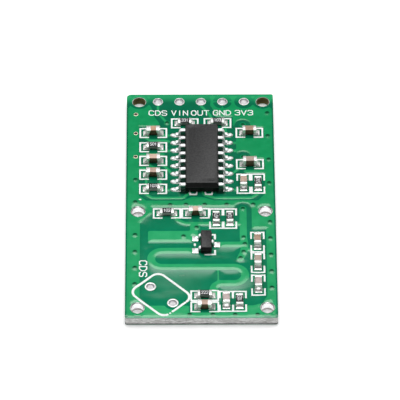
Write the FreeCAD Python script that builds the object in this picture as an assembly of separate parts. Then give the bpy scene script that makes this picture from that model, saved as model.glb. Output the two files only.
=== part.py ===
import FreeCAD, Part
import math
import os

# Microwave radar sensor board: a small two-sided circuit board with its components on the top face.
# Millimetres. X runs to the right along the header row, Y from the antenna end to the header row,
# and Z up from the flat underside. The origin is under the middle of the board.

V = FreeCAD.Vector

# Layers, from the underside up
plane_height = 0.10       # ground copper of the underside with its mask
laminate_thickness = 1.0
mask_height = 0.05        # mask on the laminate of the top face
relief_height = 0.05      # how far copper lifts the mask that covers it
pad_height = 0.08         # bare tinned pad
print_height = 0.02       # printed lines above the raised areas
solder_film = 0.05        # solder between a pad and what stands on it
laminate_top = plane_height + laminate_thickness
mask_top = laminate_top + mask_height
board_thickness = mask_top + relief_height
pad_top = laminate_top + pad_height
print_top = board_thickness + print_height
seat = pad_top + solder_film

# Rows of the layout, from the lower edge up, which add up to the length of the board
lower_hole_inset = 1.55
transistor_row_height = 11.35
filter_row_height = 16.35
filter_row_to_circuit = 8.25
circuit_to_header = 10.05
header_inset = 1.25
board_length = filter_row_height + filter_row_to_circuit + circuit_to_header + header_inset

# Columns of the layout, from the left edge, which add up to the width of the board
left_column_inset = 3.15
left_column_to_circuit = 5.67
circuit_to_right_column = 5.61
right_column_inset = 2.87
board_width = left_column_inset + left_column_to_circuit + circuit_to_right_column + right_column_inset
board_corner_radius = 0.25
copper_edge_gap = 0.32

left_edge = -board_width / 2
right_edge = board_width / 2
lower_edge = -board_length / 2
upper_edge = board_length / 2
left_column = left_edge + left_column_inset
circuit_x = left_column + left_column_to_circuit
right_column = right_edge - right_column_inset
transistor_y = lower_edge + transistor_row_height
filter_row = lower_edge + filter_row_height
circuit_y = filter_row + filter_row_to_circuit
header_row = upper_edge - header_inset

# Holes
hole_shift = 0.12         # the drilled pattern sits this far right of the board's middle
mounting_hole_inset = 1.35
mounting_hole_radius = 0.77
mounting_clearance = 0.43
mask_setback = 0.1        # the mask stops this far from an unplated hole
edge_hole_inset = 1.3
edge_hole_spacing = 15.1
edge_hole_radius = 0.75
edge_ring_width = 0.14
header_pitch = 2.54
header_count = 5
header_hole_radius = 0.45
header_ring_width = 0.19
cell_hole_radius = 0.45
cell_ring_width = 0.19
cell_pitch = 2.54
cell_x = -4.5
cell_height = 3.57        # middle of the light cell above the lower edge
ring_clearance = 0.5      # bare ring between a hole's rim and the copper round it
ring_sides = 16           # rims and clearings are drawn with this many sides
spoke_width = 0.2

mounting_holes = [
    (hole_shift + side * (board_width / 2 - mounting_hole_inset), header_row) for side in (-1, 1)
]
edge_holes = [
    (hole_shift + side * (board_width / 2 - edge_hole_inset), lower_edge + lower_hole_inset + step)
    for side in (-1, 1)
    for step in (0, edge_hole_spacing)
]
header_holes = [
    (hole_shift + (index - (header_count - 1) / 2) * header_pitch, header_row)
    for index in range(header_count)
]
ground_pin = 3            # the header hole that the copper area is joined to, counted from 0
cell_y = lower_edge + cell_height
cell_holes = [
    (cell_x - cell_pitch / 2, cell_y + cell_pitch / 2),
    (cell_x + cell_pitch / 2, cell_y - cell_pitch / 2),
]

# Chip components
chip_length = 1.6
chip_width = 0.8
capacitor_height = 0.8
resistor_height = 0.45
end_cap_length = 0.36
end_cap_wall = 0.03
overcoat_height = 0.02
pad_reach = 1.2           # from the middle of a chip to the outer edge of its pads
pad_start = 0.45
pad_width = 0.86
bracket_length = 3.27
bracket_width = 1.66
bracket_gap = 1.0
line_width = 0.2

# Integrated circuit
circuit_width = 3.9
circuit_standoff = 0.12
circuit_height = 1.4
circuit_draft = 0.15
circuit_pins_per_side = 8
circuit_pitch = 1.27
circuit_end = 0.505       # from the last lead's middle to the end of the body
circuit_length = (circuit_pins_per_side - 1) * circuit_pitch + 2 * circuit_end
circuit_lead_width = 0.42
circuit_lead_thickness = 0.2
circuit_lead_span = 6.0
circuit_shoulder = 0.42
circuit_foot = 0.45
circuit_pad_reach = 3.67
circuit_pad_width = 0.6
dimple_radius = 0.35
dimple_depth = 0.05
dimple_inset = 0.75

# Transistor
transistor_x = 0.6
transistor_width = 1.3
transistor_length = 2.9
transistor_standoff = 0.06
transistor_height = 0.95
transistor_draft = 0.1
transistor_pitch = 1.9
transistor_lead_width = 0.42
transistor_lead_thickness = 0.13
transistor_lead_span = 2.4
transistor_shoulder = 0.14
transistor_foot = 0.3
transistor_pad_reach = 1.6
transistor_pad_width = 0.8

# Copper widths
track_width = 0.3
loop_width = 0.33
feed_width = 0.55
supply_width = 0.82
collector_width = 0.85
antenna_width = 0.91
antenna_turn = 1.27       # radius of the middle line in the two U-turns
antenna_left_turn = -4.43
antenna_right_turn = 3.73
antenna_drop = 0.92       # the first run lies this far below the transistor's middle
shunt_width = 0.2

# Printed outline of the light cell
cell_outline_length = 5.6
cell_outline_width = 4.63
cell_outline_corner = 1.0
cell_outline_line = 0.3


# Flat shapes

def corner(before, point, after, radius):
    """Start, middle and end of the arc that rounds one corner, or None where the line runs straight on."""
    arriving = (point - before).normalize()
    leaving = (after - point).normalize()
    turn = arriving.getAngle(leaving)
    if turn < 0.01:
        return None
    reach = min(
        radius * math.tan(turn / 2), (point - before).Length / 2, (after - point).Length / 2
    )
    start = point - arriving * reach
    end = point + leaving * reach
    real_radius = reach / math.tan(turn / 2)
    centre = point + (leaving - arriving).normalize() * (real_radius / math.cos(turn / 2))
    middle = centre + (point - centre).normalize() * real_radius
    return start, middle, end


def joined(pieces):
    """One closed face from a list of points and of arcs, each a start, a middle and an end."""
    edges = []
    ends = [(piece, piece) if isinstance(piece, V) else (piece[0], piece[2]) for piece in pieces]
    for index, piece in enumerate(pieces):
        if not isinstance(piece, V):
            edges.append(Part.Arc(*piece).toShape())
        following = ends[(index + 1) % len(ends)][0]
        if (following - ends[index][1]).Length > 1e-4:
            edges.append(Part.makeLine(ends[index][1], following))
    return Part.Face(Part.Wire(edges))


def outline(points, radius=0.0):
    """A closed outline with each corner rounded."""
    points = [V(x, y, 0) for x, y in points]
    pieces = []
    for index, point in enumerate(points):
        before = points[index - 1]
        after = points[(index + 1) % len(points)]
        arc = corner(before, point, after, radius) if radius else None
        pieces.append(arc or point)
    return joined(pieces)


def rectangle(x0, y0, x1, y1, radius=0.0):
    return outline([(x0, y0), (x1, y0), (x1, y1), (x0, y1)], radius)


def disc(x, y, radius):
    return Part.Face(Part.Wire(Part.makeCircle(radius, V(x, y, 0))))


def regular(x, y, radius):
    """The many-sided outline of a rim or a clearing."""
    step = 2 * math.pi / ring_sides
    return outline([
        (x + radius * math.cos(index * step), y + radius * math.sin(index * step))
        for index in range(ring_sides)
    ])


def strip(points, width, bend=0.35, round_bends=False):
    """A track of one width along a line of points. Its bends are cut across, or round."""
    points = [V(x, y, 0) for x, y in points]
    half = width / 2
    sides = {1: [], -1: []}
    for side in sides:
        for index, point in enumerate(points):
            if index in (0, len(points) - 1):
                along = points[min(index + 1, len(points) - 1)] - points[max(index - 1, 0)]
                along.normalize()
                sides[side].append(point + V(-along.y, along.x, 0) * (side * half))
                continue
            piece = bend_edge(points[index - 1:index + 2], max(bend, half * 1.1), side * half)
            if isinstance(piece, tuple) and not round_bends:
                sides[side] += [piece[0], piece[2]]
            else:
                sides[side].append(piece)
    back = [piece if isinstance(piece, V) else piece[::-1] for piece in sides[-1][::-1]]
    return joined(sides[1] + back)


def bend_edge(points, radius, shift):
    """One side of a bend: an arc beside the middle line, or a point where it would turn inside out."""
    before, point, after = points
    arriving = (point - before).normalize()
    leaving = (after - point).normalize()
    normal_in = V(-arriving.y, arriving.x, 0)
    normal_out = V(-leaving.y, leaving.x, 0)
    arc = corner(before, point, after, radius)
    if arc is None:
        return point + normal_in * shift
    start, middle, end = arc
    turn_side = 1 if arriving.x * leaving.y - arriving.y * leaving.x > 0 else -1
    turn = arriving.getAngle(leaving)
    line_radius = (start - point).Length / math.tan(turn / 2)
    edge_radius = line_radius - turn_side * shift
    if edge_radius < 0.02:
        return point + (normal_in + normal_out).normalize() * (shift / math.cos(turn / 2))
    centre = start + normal_in * (turn_side * line_radius)
    return (
        start + normal_in * shift,
        centre + (middle - centre).normalize() * edge_radius,
        end + normal_out * shift,
    )


# Solids

def layer(face, bottom, top):
    """A face raised to a flat plate between two heights."""
    return face.translated(V(0, 0, bottom)).extrude(V(0, 0, top - bottom))


def layers(faces, bottom, top):
    return [layer(face, bottom, top) for face in faces]


def fused(shapes):
    """Shapes made one where they touch, with no seams left between them."""
    if len(shapes) == 1:
        return shapes[0]
    return shapes[0].multiFuse(shapes[1:]).removeSplitter()


def box(x0, x1, y0, y1, z0, z1):
    return Part.makeBox(x1 - x0, y1 - y0, z1 - z0, V(x0, y0, z0))


def upright(points, width):
    """A profile drawn in X and Z, given a width along Y and centred on the XZ plane."""
    wire = Part.makePolygon([V(x, -width / 2, z) for x, z in points + points[:1]])
    return Part.Face(wire).extrude(V(0, width, 0))


def placed(shape, x, y, angle=0):
    moved = shape.copy()
    moved.rotate(V(0, 0, 0), V(0, 0, 1), angle)
    moved.translate(V(x, y, 0))
    return moved


def compound(shapes):
    solids = [solid for shape in shapes for solid in shape.Solids]
    return Part.makeCompound(solids)


# Where each chip stands: its name, its place and its turn, 0 along X or 90 along Y

right_side_column = right_edge - 2.17
coupling_x = -3.9         # the chip that joins the filter row to the feed
lower_block_x = 0.38
lower_block_row = 2.55    # above the lower edge

capacitors = [
    ("capacitor_01", left_column, circuit_y + 4.85, 0),
    ("capacitor_02", left_column, circuit_y + 0.25, 0),
    ("capacitor_03", left_column, circuit_y - 2.0, 0),
    ("capacitor_04", right_column, circuit_y + 4.85, 0),
    ("capacitor_05", right_column, circuit_y - 0.33, 0),
    ("capacitor_06", right_column - 0.78, circuit_y - 3.5, 90),
    ("capacitor_07", -0.6, filter_row, 0),
    ("capacitor_08", right_side_column, transistor_y + 0.4, 90),
    ("capacitor_09", right_side_column, transistor_y - 2.8, 90),
    ("capacitor_10", right_side_column, transistor_y - 6.3, 90),
    ("capacitor_11", lower_block_x + 2.44, lower_edge + lower_block_row, 90),
    ("capacitor_12", lower_block_x, lower_edge + lower_block_row - 0.85, 0),
]
resistors = [
    ("resistor_01", left_column, circuit_y + 2.5, 0),
    ("resistor_02", left_column, circuit_y - 4.3, 0),
    ("resistor_03", circuit_x - 1.97, circuit_y + 6.45, 0),
    ("resistor_04", circuit_x + 1.88, circuit_y + 6.48, 0),
    ("resistor_05", right_column + 0.9, circuit_y - 3.5, 90),
    ("resistor_06", coupling_x, filter_row, 0),
    ("resistor_07", 1.78, filter_row - 0.85, 90),
    ("resistor_08", 3.35, filter_row - 0.85, 90),
    ("resistor_09", lower_block_x, lower_edge + lower_block_row + 0.9, 0),
    ("resistor_10", lower_block_x + 3.94, lower_edge + lower_block_row, 90),
]
chips = capacitors + resistors

circuit_pins = [
    (circuit_x, circuit_y + (index - (circuit_pins_per_side - 1) / 2) * circuit_pitch, angle)
    for angle in (0, 180)
    for index in range(circuit_pins_per_side)
]
transistor_pins = [
    (transistor_x, transistor_y, 0),
    (transistor_x, transistor_y + transistor_pitch / 2, 180),
    (transistor_x, transistor_y - transistor_pitch / 2, 180),
]


# Pads of every component, as flat faces

def chip_pad_faces():
    pads = []
    for name, x, y, turn in chips:
        for side in (-1, 1):
            inner, outer = sorted((side * pad_start, side * pad_reach))
            pads.append(placed(rectangle(inner, -pad_width / 2, outer, pad_width / 2), x, y, turn))
    return pads


def lead_pad_faces(pins, inner, outer, width):
    return [placed(rectangle(inner, -width / 2, outer, width / 2), x, y, turn) for x, y, turn in pins]


circuit_pad_start = circuit_lead_span / 2 - circuit_foot
transistor_pad_start = transistor_lead_span / 2 - transistor_foot
circuit_pad_faces = lead_pad_faces(
    circuit_pins, circuit_pad_start, circuit_pad_reach, circuit_pad_width
)
transistor_pad_faces = lead_pad_faces(
    transistor_pins, transistor_pad_start, transistor_pad_reach, transistor_pad_width
)
top_pad_faces = chip_pad_faces() + circuit_pad_faces + transistor_pad_faces

# Three pairs of bare pads on the underside, for optional chips
option_pad_length = 0.9
option_pad_width = 1.2
option_pad_spacing = 1.9
option_columns = [hole_shift + step * header_pitch for step in (-1.5, 0, 1.5)]
option_row = header_row - 3.2
option_pad_faces = [
    rectangle(
        x + side * option_pad_spacing / 2 - option_pad_length / 2,
        option_row - option_pad_width / 2,
        x + side * option_pad_spacing / 2 + option_pad_length / 2,
        option_row + option_pad_width / 2,
    )
    for x in option_columns
    for side in (-1, 1)
]
option_clearance = 0.25


# Each plated hole: its middle, the radius of the hole and the width of its rim

plated = (
    [(x, y, edge_hole_radius, edge_ring_width) for x, y in edge_holes]
    + [(x, y, header_hole_radius, header_ring_width) for x, y in header_holes]
    + [(x, y, cell_hole_radius, cell_ring_width) for x, y in cell_holes]
)


def plated_hole(x, y, radius, ring):
    """A tinned eyelet through the board, flush with its two faces."""
    eyelet = layer(regular(x, y, radius + ring), 0, board_thickness)
    return eyelet.cut(layer(disc(x, y, radius), 0, board_thickness))


def make_laminate():
    plate = layer(
        rectangle(left_edge, lower_edge, right_edge, upper_edge, board_corner_radius),
        plane_height,
        laminate_top,
    )
    holes = [regular(x, y, radius + ring) for x, y, radius, ring in plated]
    holes += [disc(x, y, mounting_hole_radius) for x, y in mounting_holes]
    return plate.cut(layers(holes, 0, board_thickness))


# Copper areas of the top face

def header_clearings():
    """Bare rings round the header holes, with three spokes left at the ground pin."""
    clearings = []
    rim = header_hole_radius + header_ring_width
    for index, (x, y) in enumerate(header_holes):
        ring = layer(regular(x, y, rim + ring_clearance), mask_top, board_thickness)
        if index == ground_pin:
            reach = rim + ring_clearance
            half = spoke_width / 2
            spokes = [
                box(x - reach, x + reach, y - half, y + half, mask_top, board_thickness),
                box(x - half, x + half, y - reach, y, mask_top, board_thickness),
            ]
            ring = ring.cut(spokes)
        clearings.append(ring)
    return clearings


def circuit_clearing():
    """The bare area from the header row down round the integrated circuit and the left column."""
    left = left_column - 1.7
    right = circuit_x + 4.03
    top = circuit_y + circuit_length / 2 + 1.0
    pin = header_row - 16.7
    bottom = circuit_y - circuit_length / 2 - 1.25
    points = [
        (-5.9, upper_edge), (1.0, upper_edge), (1.25, header_row + 0.5), (1.2, header_row - 0.6),
        (1.55, header_row - 1.3), (1.75, header_row - 2.5), (3.85, header_row - 2.5),
        (3.85, top), (right, top), (right, circuit_y + 0.6), (5.1, circuit_y + 0.4),
        (5.1, circuit_y - 1.8), (right_column + 1.7, circuit_y - 1.8),
        (right_column + 1.7, circuit_y - 5.1), (right_column + 0.9, bottom), (1.6, bottom),
        (0.1, bottom + 0.6), (-1.0, bottom + 0.6), (-2.0, bottom), (left + 0.9, bottom),
        (left, circuit_y - 5.3), (left, top), (-4.7, top), (-4.85, 13.25 + pin),
        (-5.45, 14.3 + pin), (-5.6, 15.3 + pin), (-5.85, 16.0 + pin),
    ]
    return outline(points)


def antenna_clearing():
    """The bare area round the filter row, the transistor, the antenna and the lower block."""
    left = left_edge + 1.65
    right = right_edge - 1.15
    shelf = lower_edge + 1.9
    foot = lower_edge + 0.83
    points = [
        (left, filter_row - 1.6), (left + 0.8, filter_row - 0.55), (-5.6, filter_row - 0.05),
        (-5.6, filter_row + 0.95), (5.87, filter_row + 0.95), (5.87, transistor_y + 2.5),
        (right, transistor_y + 2.5), (right, shelf + 1.5), (right - 0.6, shelf + 0.4),
        (right - 1.6, shelf), (lower_block_x + 4.75, shelf), (lower_block_x + 4.75, foot),
        (lower_block_x - 1.8, foot), (lower_block_x - 1.8, shelf), (left + 1.0, shelf),
        (left, shelf + 1.1),
    ]
    return outline(points)


def top_clearings():
    """Every bare area that the ground copper of the top face leaves open."""
    box_x = bracket_length / 2 + 0.08
    box_y = bracket_width / 2 + 0.08
    faces = [circuit_clearing(), antenna_clearing()]
    for name, x, y, turn in chips:
        if x > circuit_x + circuit_pad_reach and y > filter_row and turn == 0:
            faces.append(rectangle(x - box_x, y - box_y, x + box_x, y + box_y))
    faces.append(regular(5.0, circuit_y + 6.1, 0.95))
    faces.append(regular(5.0, circuit_y + 0.95, 0.85))
    faces.append(regular(supply_x, filter_row + 0.73, 1.0))
    faces.append(regular(cell_holes[1][0], cell_holes[1][1], cell_hole_radius + cell_ring_width + 0.36))
    for x, y in mounting_holes:
        faces.append(regular(x, y, mounting_hole_radius + mounting_clearance))
    return layers(faces, mask_top, board_thickness) + header_clearings()


supply_x = 4.87
inset_board = rectangle(
    left_edge + copper_edge_gap,
    lower_edge + copper_edge_gap,
    right_edge - copper_edge_gap,
    upper_edge - copper_edge_gap,
)


def bare_metal():
    """Plates that cut the raised areas and the mask back to the edges of pads and rims."""
    faces = [regular(x, y, radius + ring) for x, y, radius, ring in plated]
    faces += [regular(x, y, mounting_hole_radius + mask_setback) for x, y in mounting_holes]
    return layers(faces + top_pad_faces, 0, print_top + 1)


def make_ground_pour():
    """Ground copper of the top face, with two fingers between the chips of the left column."""
    finger_rows = [(circuit_y + 1.1, left_column + 1.35), (circuit_y - 1.15, left_column + 0.5)]
    fingers = [
        rectangle(left_edge + 1.0, y, end, y + 0.45) for y, end in finger_rows
    ]
    plate = layer(inset_board, mask_top, board_thickness).cut(top_clearings())
    return fused([plate] + layers(fingers, mask_top, board_thickness))


def antenna_faces():
    """The folded antenna line, from the transistor to the lower block, and its thin shunt."""
    first = transistor_y - antenna_drop
    second = first - 2 * antenna_turn
    third = second - 2 * antenna_turn
    left = antenna_left_turn - antenna_turn
    right = antenna_right_turn + antenna_turn
    end_x = lower_block_x + 1.02
    path = [
        (transistor_x - transistor_pad_start, first), (left, first), (left, second), (right, second),
        (right, third), (end_x, third), (end_x, lower_edge + lower_block_row + 0.9),
    ]
    shunt_x = end_x + 0.53
    half = shunt_width / 2
    return [
        strip(path, antenna_width, antenna_turn, True),
        rectangle(shunt_x - half, third, shunt_x + half, second),
    ]


def feed_faces():
    """The wide strips that feed the transistor."""
    bar_left = -6.07
    bar_right = transistor_x - transistor_pad_start
    bar_top = transistor_y + 2.2
    bar_bottom = transistor_y + 0.45
    rung = filter_row - 1.65
    return [
        rectangle(bar_left, bar_bottom, bar_right - 0.5, bar_top),
        rectangle(bar_right - 0.95, transistor_y + 0.95, bar_right - 0.05, rung, 0.1),
        strip(
            [
                (coupling_x + 0.9, filter_row), (coupling_x + 1.0, filter_row - 0.9), (coupling_x + 1.9, rung),
                (supply_x, rung),
            ],
            feed_width, 0.9,
        ),
        regular(supply_x, filter_row + 0.73, supply_width / 2),
        strip(
            [
                (supply_x, filter_row + 0.73), (supply_x, transistor_y + 1.1),
                (supply_x + 0.18, transistor_y), (supply_x, transistor_y - 1.2),
                (supply_x - 0.42, transistor_y - 2.25),
            ],
            supply_width,
        ),
        regular(supply_x - 0.42, transistor_y - 2.25, supply_width / 2),
        strip([(supply_x, transistor_y - 0.8), (right_side_column, transistor_y - 0.7)], 0.4),
        strip([(transistor_x + 1.2, transistor_y + 0.05), (supply_x, transistor_y + 0.05)], collector_width),
    ]


def signal_paths():
    """The narrow tracks, each as a line of points and a width."""
    near = circuit_x - circuit_pad_reach + 0.4
    far = circuit_x + circuit_pad_reach - 0.4
    inner = left_column + 0.8
    outer = left_column - 0.8
    rows = [circuit_y + (3.5 - index) * circuit_pitch for index in range(circuit_pins_per_side)]
    loop_y = circuit_y - 5.78
    first_pin, third_pin = header_holes[0], header_holes[2]
    right_end = right_column + 0.9
    return [
        ([first_pin, (first_pin[0], header_row - 1.85), (-3.88, header_row - 3.55)], 0.26),
        ([third_pin, (third_pin[0], header_row - 0.7), (1.25, header_row - 2.3), (1.2, circuit_y + 6.48)], 0.3),
        ([(outer, circuit_y + 4.7), (outer, circuit_y + 3.6), (inner + 0.7, circuit_y + 3.6), (near, rows[1])],
         track_width),
        ([(inner, rows[0]), (near, rows[0])], track_width),
        ([(inner, rows[2]), (near, rows[2])], track_width),
        ([(inner, circuit_y + 0.1), (near - 0.3, rows[5] + 0.2), (near, rows[5])], track_width),
        ([(outer, circuit_y), (inner, circuit_y - 1.6)], 0.26),
        ([(outer, circuit_y - 2.2), (outer, circuit_y - 4.1)], 0.26),
        ([(inner, circuit_y - 2.2), (inner, circuit_y - 4.1)], 0.26),
        ([(inner, rows[7]), (near, rows[7])], track_width),
        ([(circuit_x + 2.75, circuit_y + 6.2), (circuit_x + 2.9, rows[0])], 0.22),
        ([(far, rows[1]), (circuit_x + 4.3, rows[1])], track_width),
        ([(far, rows[2]), (circuit_x + 4.3, rows[2])], track_width),
        ([(far, rows[5]), (far + 0.4, rows[5] + 0.2), (right_column - 0.9, circuit_y - 0.6)], track_width),
        ([(far, rows[7]), (right_column - 0.8, rows[7])], track_width),
        ([(outer, circuit_y - 4.4), (outer, circuit_y - 5.2), (outer + 0.7, loop_y), (-2.0, loop_y),
          (-1.0, circuit_y - 4.6)], loop_width),
        ([(0.2, circuit_y - 4.6), (0.4, circuit_y - 5.3), (1.7, loop_y), (right_end - 0.8, loop_y),
          (right_end, circuit_y - 5.1), (right_end, circuit_y - 4.4)], loop_width),
    ]


def copper_layer(faces, cutters):
    """Raised shapes of one height, joined and cut back at the pads."""
    return fused(layers(faces, mask_top, board_thickness)).cut(cutters)


def make_copper(metal):
    """The four copper nodes of the top face, each clear of the one before it."""
    pour = make_ground_pour()
    antenna = copper_layer(antenna_faces(), metal)
    feed = copper_layer(feed_faces(), metal + [antenna])
    signal_faces = [strip(points, width) for points, width in signal_paths()]
    ground = pour.cut(metal + [feed, antenna])
    signals = copper_layer(signal_faces, metal + [feed, antenna, ground])
    return ground, antenna, feed, signals


# Underside

def bare_metal_below():
    faces = [regular(x, y, radius + ring) for x, y, radius, ring in plated]
    return layers(faces + option_pad_faces, 0, plane_height)


def make_ground_plane():
    """The ground plane with its mask, open round the holes and the bare pads that it must not touch."""
    faces = [regular(x, y, mounting_hole_radius + mounting_clearance) for x, y in mounting_holes]
    small = [(x, y) for index, (x, y) in enumerate(header_holes) if index != ground_pin] + cell_holes
    clear_radius = header_hole_radius + header_ring_width + ring_clearance
    faces += [regular(x, y, clear_radius) for x, y in small]
    reach_x = (option_pad_spacing + option_pad_length) / 2 + option_clearance
    reach_y = option_pad_width / 2 + option_clearance
    faces += [
        rectangle(x - reach_x, option_row - reach_y, x + reach_x, option_row + reach_y)
        for x in option_columns
    ]
    openings = layers(faces, 0, plane_height) + bare_metal_below()
    return layer(inset_board, 0, plane_height).cut(openings)


# Print

def bracket(x, y, turn):
    """The two printed brackets that face each other round one chip."""
    half = bracket_length / 2
    side = bracket_width / 2
    line = line_width
    faces = []
    for sign in (-1, 1):
        start = bracket_gap / 2
        points = [
            (start, side), (half, side), (half, -side), (start, -side), (start, line - side),
            (half - line, line - side), (half - line, side - line), (start, side - line),
        ]
        faces.append(placed(outline([(sign * px, py) for px, py in points]), x, y, turn))
    return faces


def frame(length, width, corner_radius, line, x, y, turn):
    outer = rectangle(-length / 2, -width / 2, length / 2, width / 2, corner_radius)
    inner = rectangle(
        line - length / 2, line - width / 2, length / 2 - line, width / 2 - line, corner_radius - line / 2
    )
    return placed(outer, x, y, turn), placed(inner, x, y, turn)


def make_print(copper, metal):
    """White lines round the chips, the transistor and the light cell."""
    faces = []
    for name, x, y, turn in chips:
        faces += bracket(x, y, turn)
    line = line_width
    mark_y = circuit_y - circuit_length / 2 - 0.1
    for x in (circuit_x - 1.02, circuit_x + 0.78):
        faces.append(outline([
            (x - 0.5, mark_y + 0.3), (x - 0.5, mark_y - 0.2), (x + 0.5, mark_y - 0.2), (x + 0.5, mark_y + 0.3),
            (x + 0.5 - line, mark_y + 0.3), (x + 0.5 - line, mark_y), (x - 0.5 + line, mark_y),
            (x - 0.5 + line, mark_y + 0.3),
        ]))
    side = transistor_x + transistor_width / 2 + 0.25
    end = transistor_length / 2 + 0.25
    faces.append(rectangle(side, transistor_y + 0.75, side + line, transistor_y + end))
    faces.append(rectangle(side, transistor_y - end, side + line, transistor_y - 0.7))
    faces.append(rectangle(transistor_x - 0.3, transistor_y - end, side + line, transistor_y - end + line))
    faces.append(rectangle(transistor_x - 1.42, transistor_y - 0.25, transistor_x - 1.18, transistor_y + 0.3))
    faces.append(disc(left_edge + 1.65, filter_row + 2.2, 0.16))
    outer, inner = frame(
        cell_outline_length + cell_outline_line, cell_outline_width + cell_outline_line,
        cell_outline_corner, cell_outline_line, cell_x - 0.06, cell_y + 0.05, -45,
    )
    ring = layer(outer, mask_top, print_top).cut(layer(inner, mask_top, print_top))
    lines = fused(layers(faces, mask_top, print_top) + [ring])
    return lines.cut(metal + list(copper))


# Chips, in their own frame: length along X, middle at the origin, standing on the solder

def end_block(height):
    """The outer form of a chip with its end caps."""
    return box(-chip_length / 2, chip_length / 2, -chip_width / 2, chip_width / 2, seat, seat + height)


def make_capacitor():
    """Ceramic block and the two metal cups on its ends."""
    inner = end_cap_wall
    body = box(
        inner - chip_length / 2, chip_length / 2 - inner, inner - chip_width / 2, chip_width / 2 - inner,
        seat + inner, seat + capacitor_height - inner,
    )
    block = end_block(capacitor_height)
    middle = chip_length / 2 - end_cap_length
    keep_out = box(-middle, middle, -chip_width, chip_width, seat - 1, seat + capacitor_height + 1)
    return body, block.cut([keep_out, body])


def make_resistor():
    """Ceramic slab with its dark overcoat, and the two folded metal ends."""
    inner = end_cap_wall
    half = chip_length / 2
    step = half - end_cap_length
    low = seat + inner
    high = seat + resistor_height - inner
    coat = high + inner + overcoat_height
    body = upright(
        [(inner - half, low), (half - inner, low), (half - inner, high), (step, high), (step - 0.03, coat),
         (0.03 - step, coat), (-step, high), (inner - half, high)],
        chip_width,
    )
    top = seat + resistor_height
    clip = upright(
        [(step, seat), (half, seat), (half, top), (step, top), (step, high), (half - inner, high),
         (half - inner, low), (step, low)],
        chip_width,
    )
    other = placed(clip, 0, 0, 180)
    return body, Part.makeCompound([clip, other])


def chip_solder(height):
    """The tinned pad under one end of a chip and the solder that climbs its end face."""
    end = chip_length / 2
    return upright(
        [(pad_start, laminate_top), (pad_reach, laminate_top), (pad_reach, pad_top),
         (end + 0.15, pad_top + 0.2 * height), (end, seat + 0.55 * height), (end, seat), (pad_start, seat)],
        pad_width,
    )


# Packages with leads

def moulded_body(width, length, bottom, height, draft):
    """A moulded body that narrows above and below its parting line."""
    def ring(shrink, z):
        x = width / 2 - shrink
        y = length / 2 - shrink
        return Part.makePolygon([V(-x, -y, z), V(x, -y, z), V(x, y, z), V(-x, y, z), V(-x, -y, z)])
    middle = bottom + height / 2
    lower = Part.makeLoft([ring(draft * 0.6, bottom), ring(0, middle)], True, True)
    upper = Part.makeLoft([ring(0, middle), ring(draft, bottom + height)], True, True)
    return lower.fuse(upper)


def gull_lead(body_half, span, exit_z, shoulder, foot, thickness, width):
    """One bent lead that leaves the body to the right at exit_z and stands on its solder."""
    low = seat + thickness / 2
    reach = span / 2
    knee = body_half + shoulder
    path = [(body_half, exit_z), (knee, exit_z), (reach - foot, low), (reach, low)]
    half = thickness / 2
    bend = thickness * 1.2
    flat = strip([(path[0][0] - half, exit_z)] + path[1:-1] + [(reach, low)], thickness, bend)
    trim = rectangle(path[0][0], low - 5, reach, exit_z + 5)
    blade = layer(flat, -width / 2, width / 2).common(layer(trim, -width, width))
    blade.rotate(V(0, 0, 0), V(1, 0, 0), 90)
    return blade


def lead_solder(inner, reach, pad_end, thickness, width):
    """The tinned pad under a lead's foot and the solder in front of its toe."""
    return upright(
        [(inner, laminate_top), (pad_end, laminate_top), (pad_end, pad_top),
         (reach, seat + 0.8 * thickness), (reach, seat), (inner, seat)],
        width,
    )


def make_circuit():
    bottom = board_thickness + circuit_standoff
    body = moulded_body(circuit_width, circuit_length, bottom, circuit_height, circuit_draft)
    corner_x = circuit_width / 2 - dimple_inset
    corner_y = circuit_length / 2 - dimple_inset
    top = bottom + circuit_height
    body = body.cut(Part.makeCylinder(dimple_radius, 1, V(-corner_x, corner_y, top - dimple_depth)))
    lead = gull_lead(
        circuit_width / 2, circuit_lead_span, bottom + circuit_height / 2, circuit_shoulder,
        circuit_foot, circuit_lead_thickness, circuit_lead_width,
    )
    leads = [placed(lead, x, y, turn) for x, y, turn in circuit_pins]
    return placed(body, circuit_x, circuit_y), compound(leads)


def make_transistor():
    bottom = board_thickness + transistor_standoff
    body = moulded_body(
        transistor_width, transistor_length, bottom, transistor_height, transistor_draft
    )
    lead = gull_lead(
        transistor_width / 2, transistor_lead_span, bottom + transistor_height / 2,
        transistor_shoulder, transistor_foot, transistor_lead_thickness, transistor_lead_width,
    )
    leads = [placed(lead, x, y, turn) for x, y, turn in transistor_pins]
    return placed(body, transistor_x, transistor_y), compound(leads)


def make_solder():
    """Every tinned pad with its solder: both ends of each chip and every lead."""
    joints = []
    heights = {name: capacitor_height for name, x, y, turn in capacitors}
    heights.update({name: resistor_height for name, x, y, turn in resistors})
    for name, x, y, turn in chips:
        for side in (0, 180):
            joints.append(placed(chip_solder(heights[name]), x, y, turn + side))
    circuit_joint = lead_solder(
        circuit_pad_start, circuit_lead_span / 2, circuit_pad_reach, circuit_lead_thickness,
        circuit_pad_width,
    )
    transistor_joint = lead_solder(
        transistor_pad_start, transistor_lead_span / 2, transistor_pad_reach, transistor_lead_thickness,
        transistor_pad_width,
    )
    joints += [placed(circuit_joint, x, y, turn) for x, y, turn in circuit_pins]
    joints += [placed(transistor_joint, x, y, turn) for x, y, turn in transistor_pins]
    return compound(joints)


def make_option_pads():
    return compound(layers(option_pad_faces, plane_height - pad_height, plane_height))


def make_top_mask(metal):
    sheet = layer(
        rectangle(left_edge, lower_edge, right_edge, upper_edge, board_corner_radius),
        laminate_top,
        mask_top,
    )
    return sheet.cut(metal)


def write(name, shape):
    shape = compound([shape])
    if not shape.isValid():
        raise ValueError(name + " is not valid")
    shape.exportStep("parts/" + name + ".step")


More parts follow.
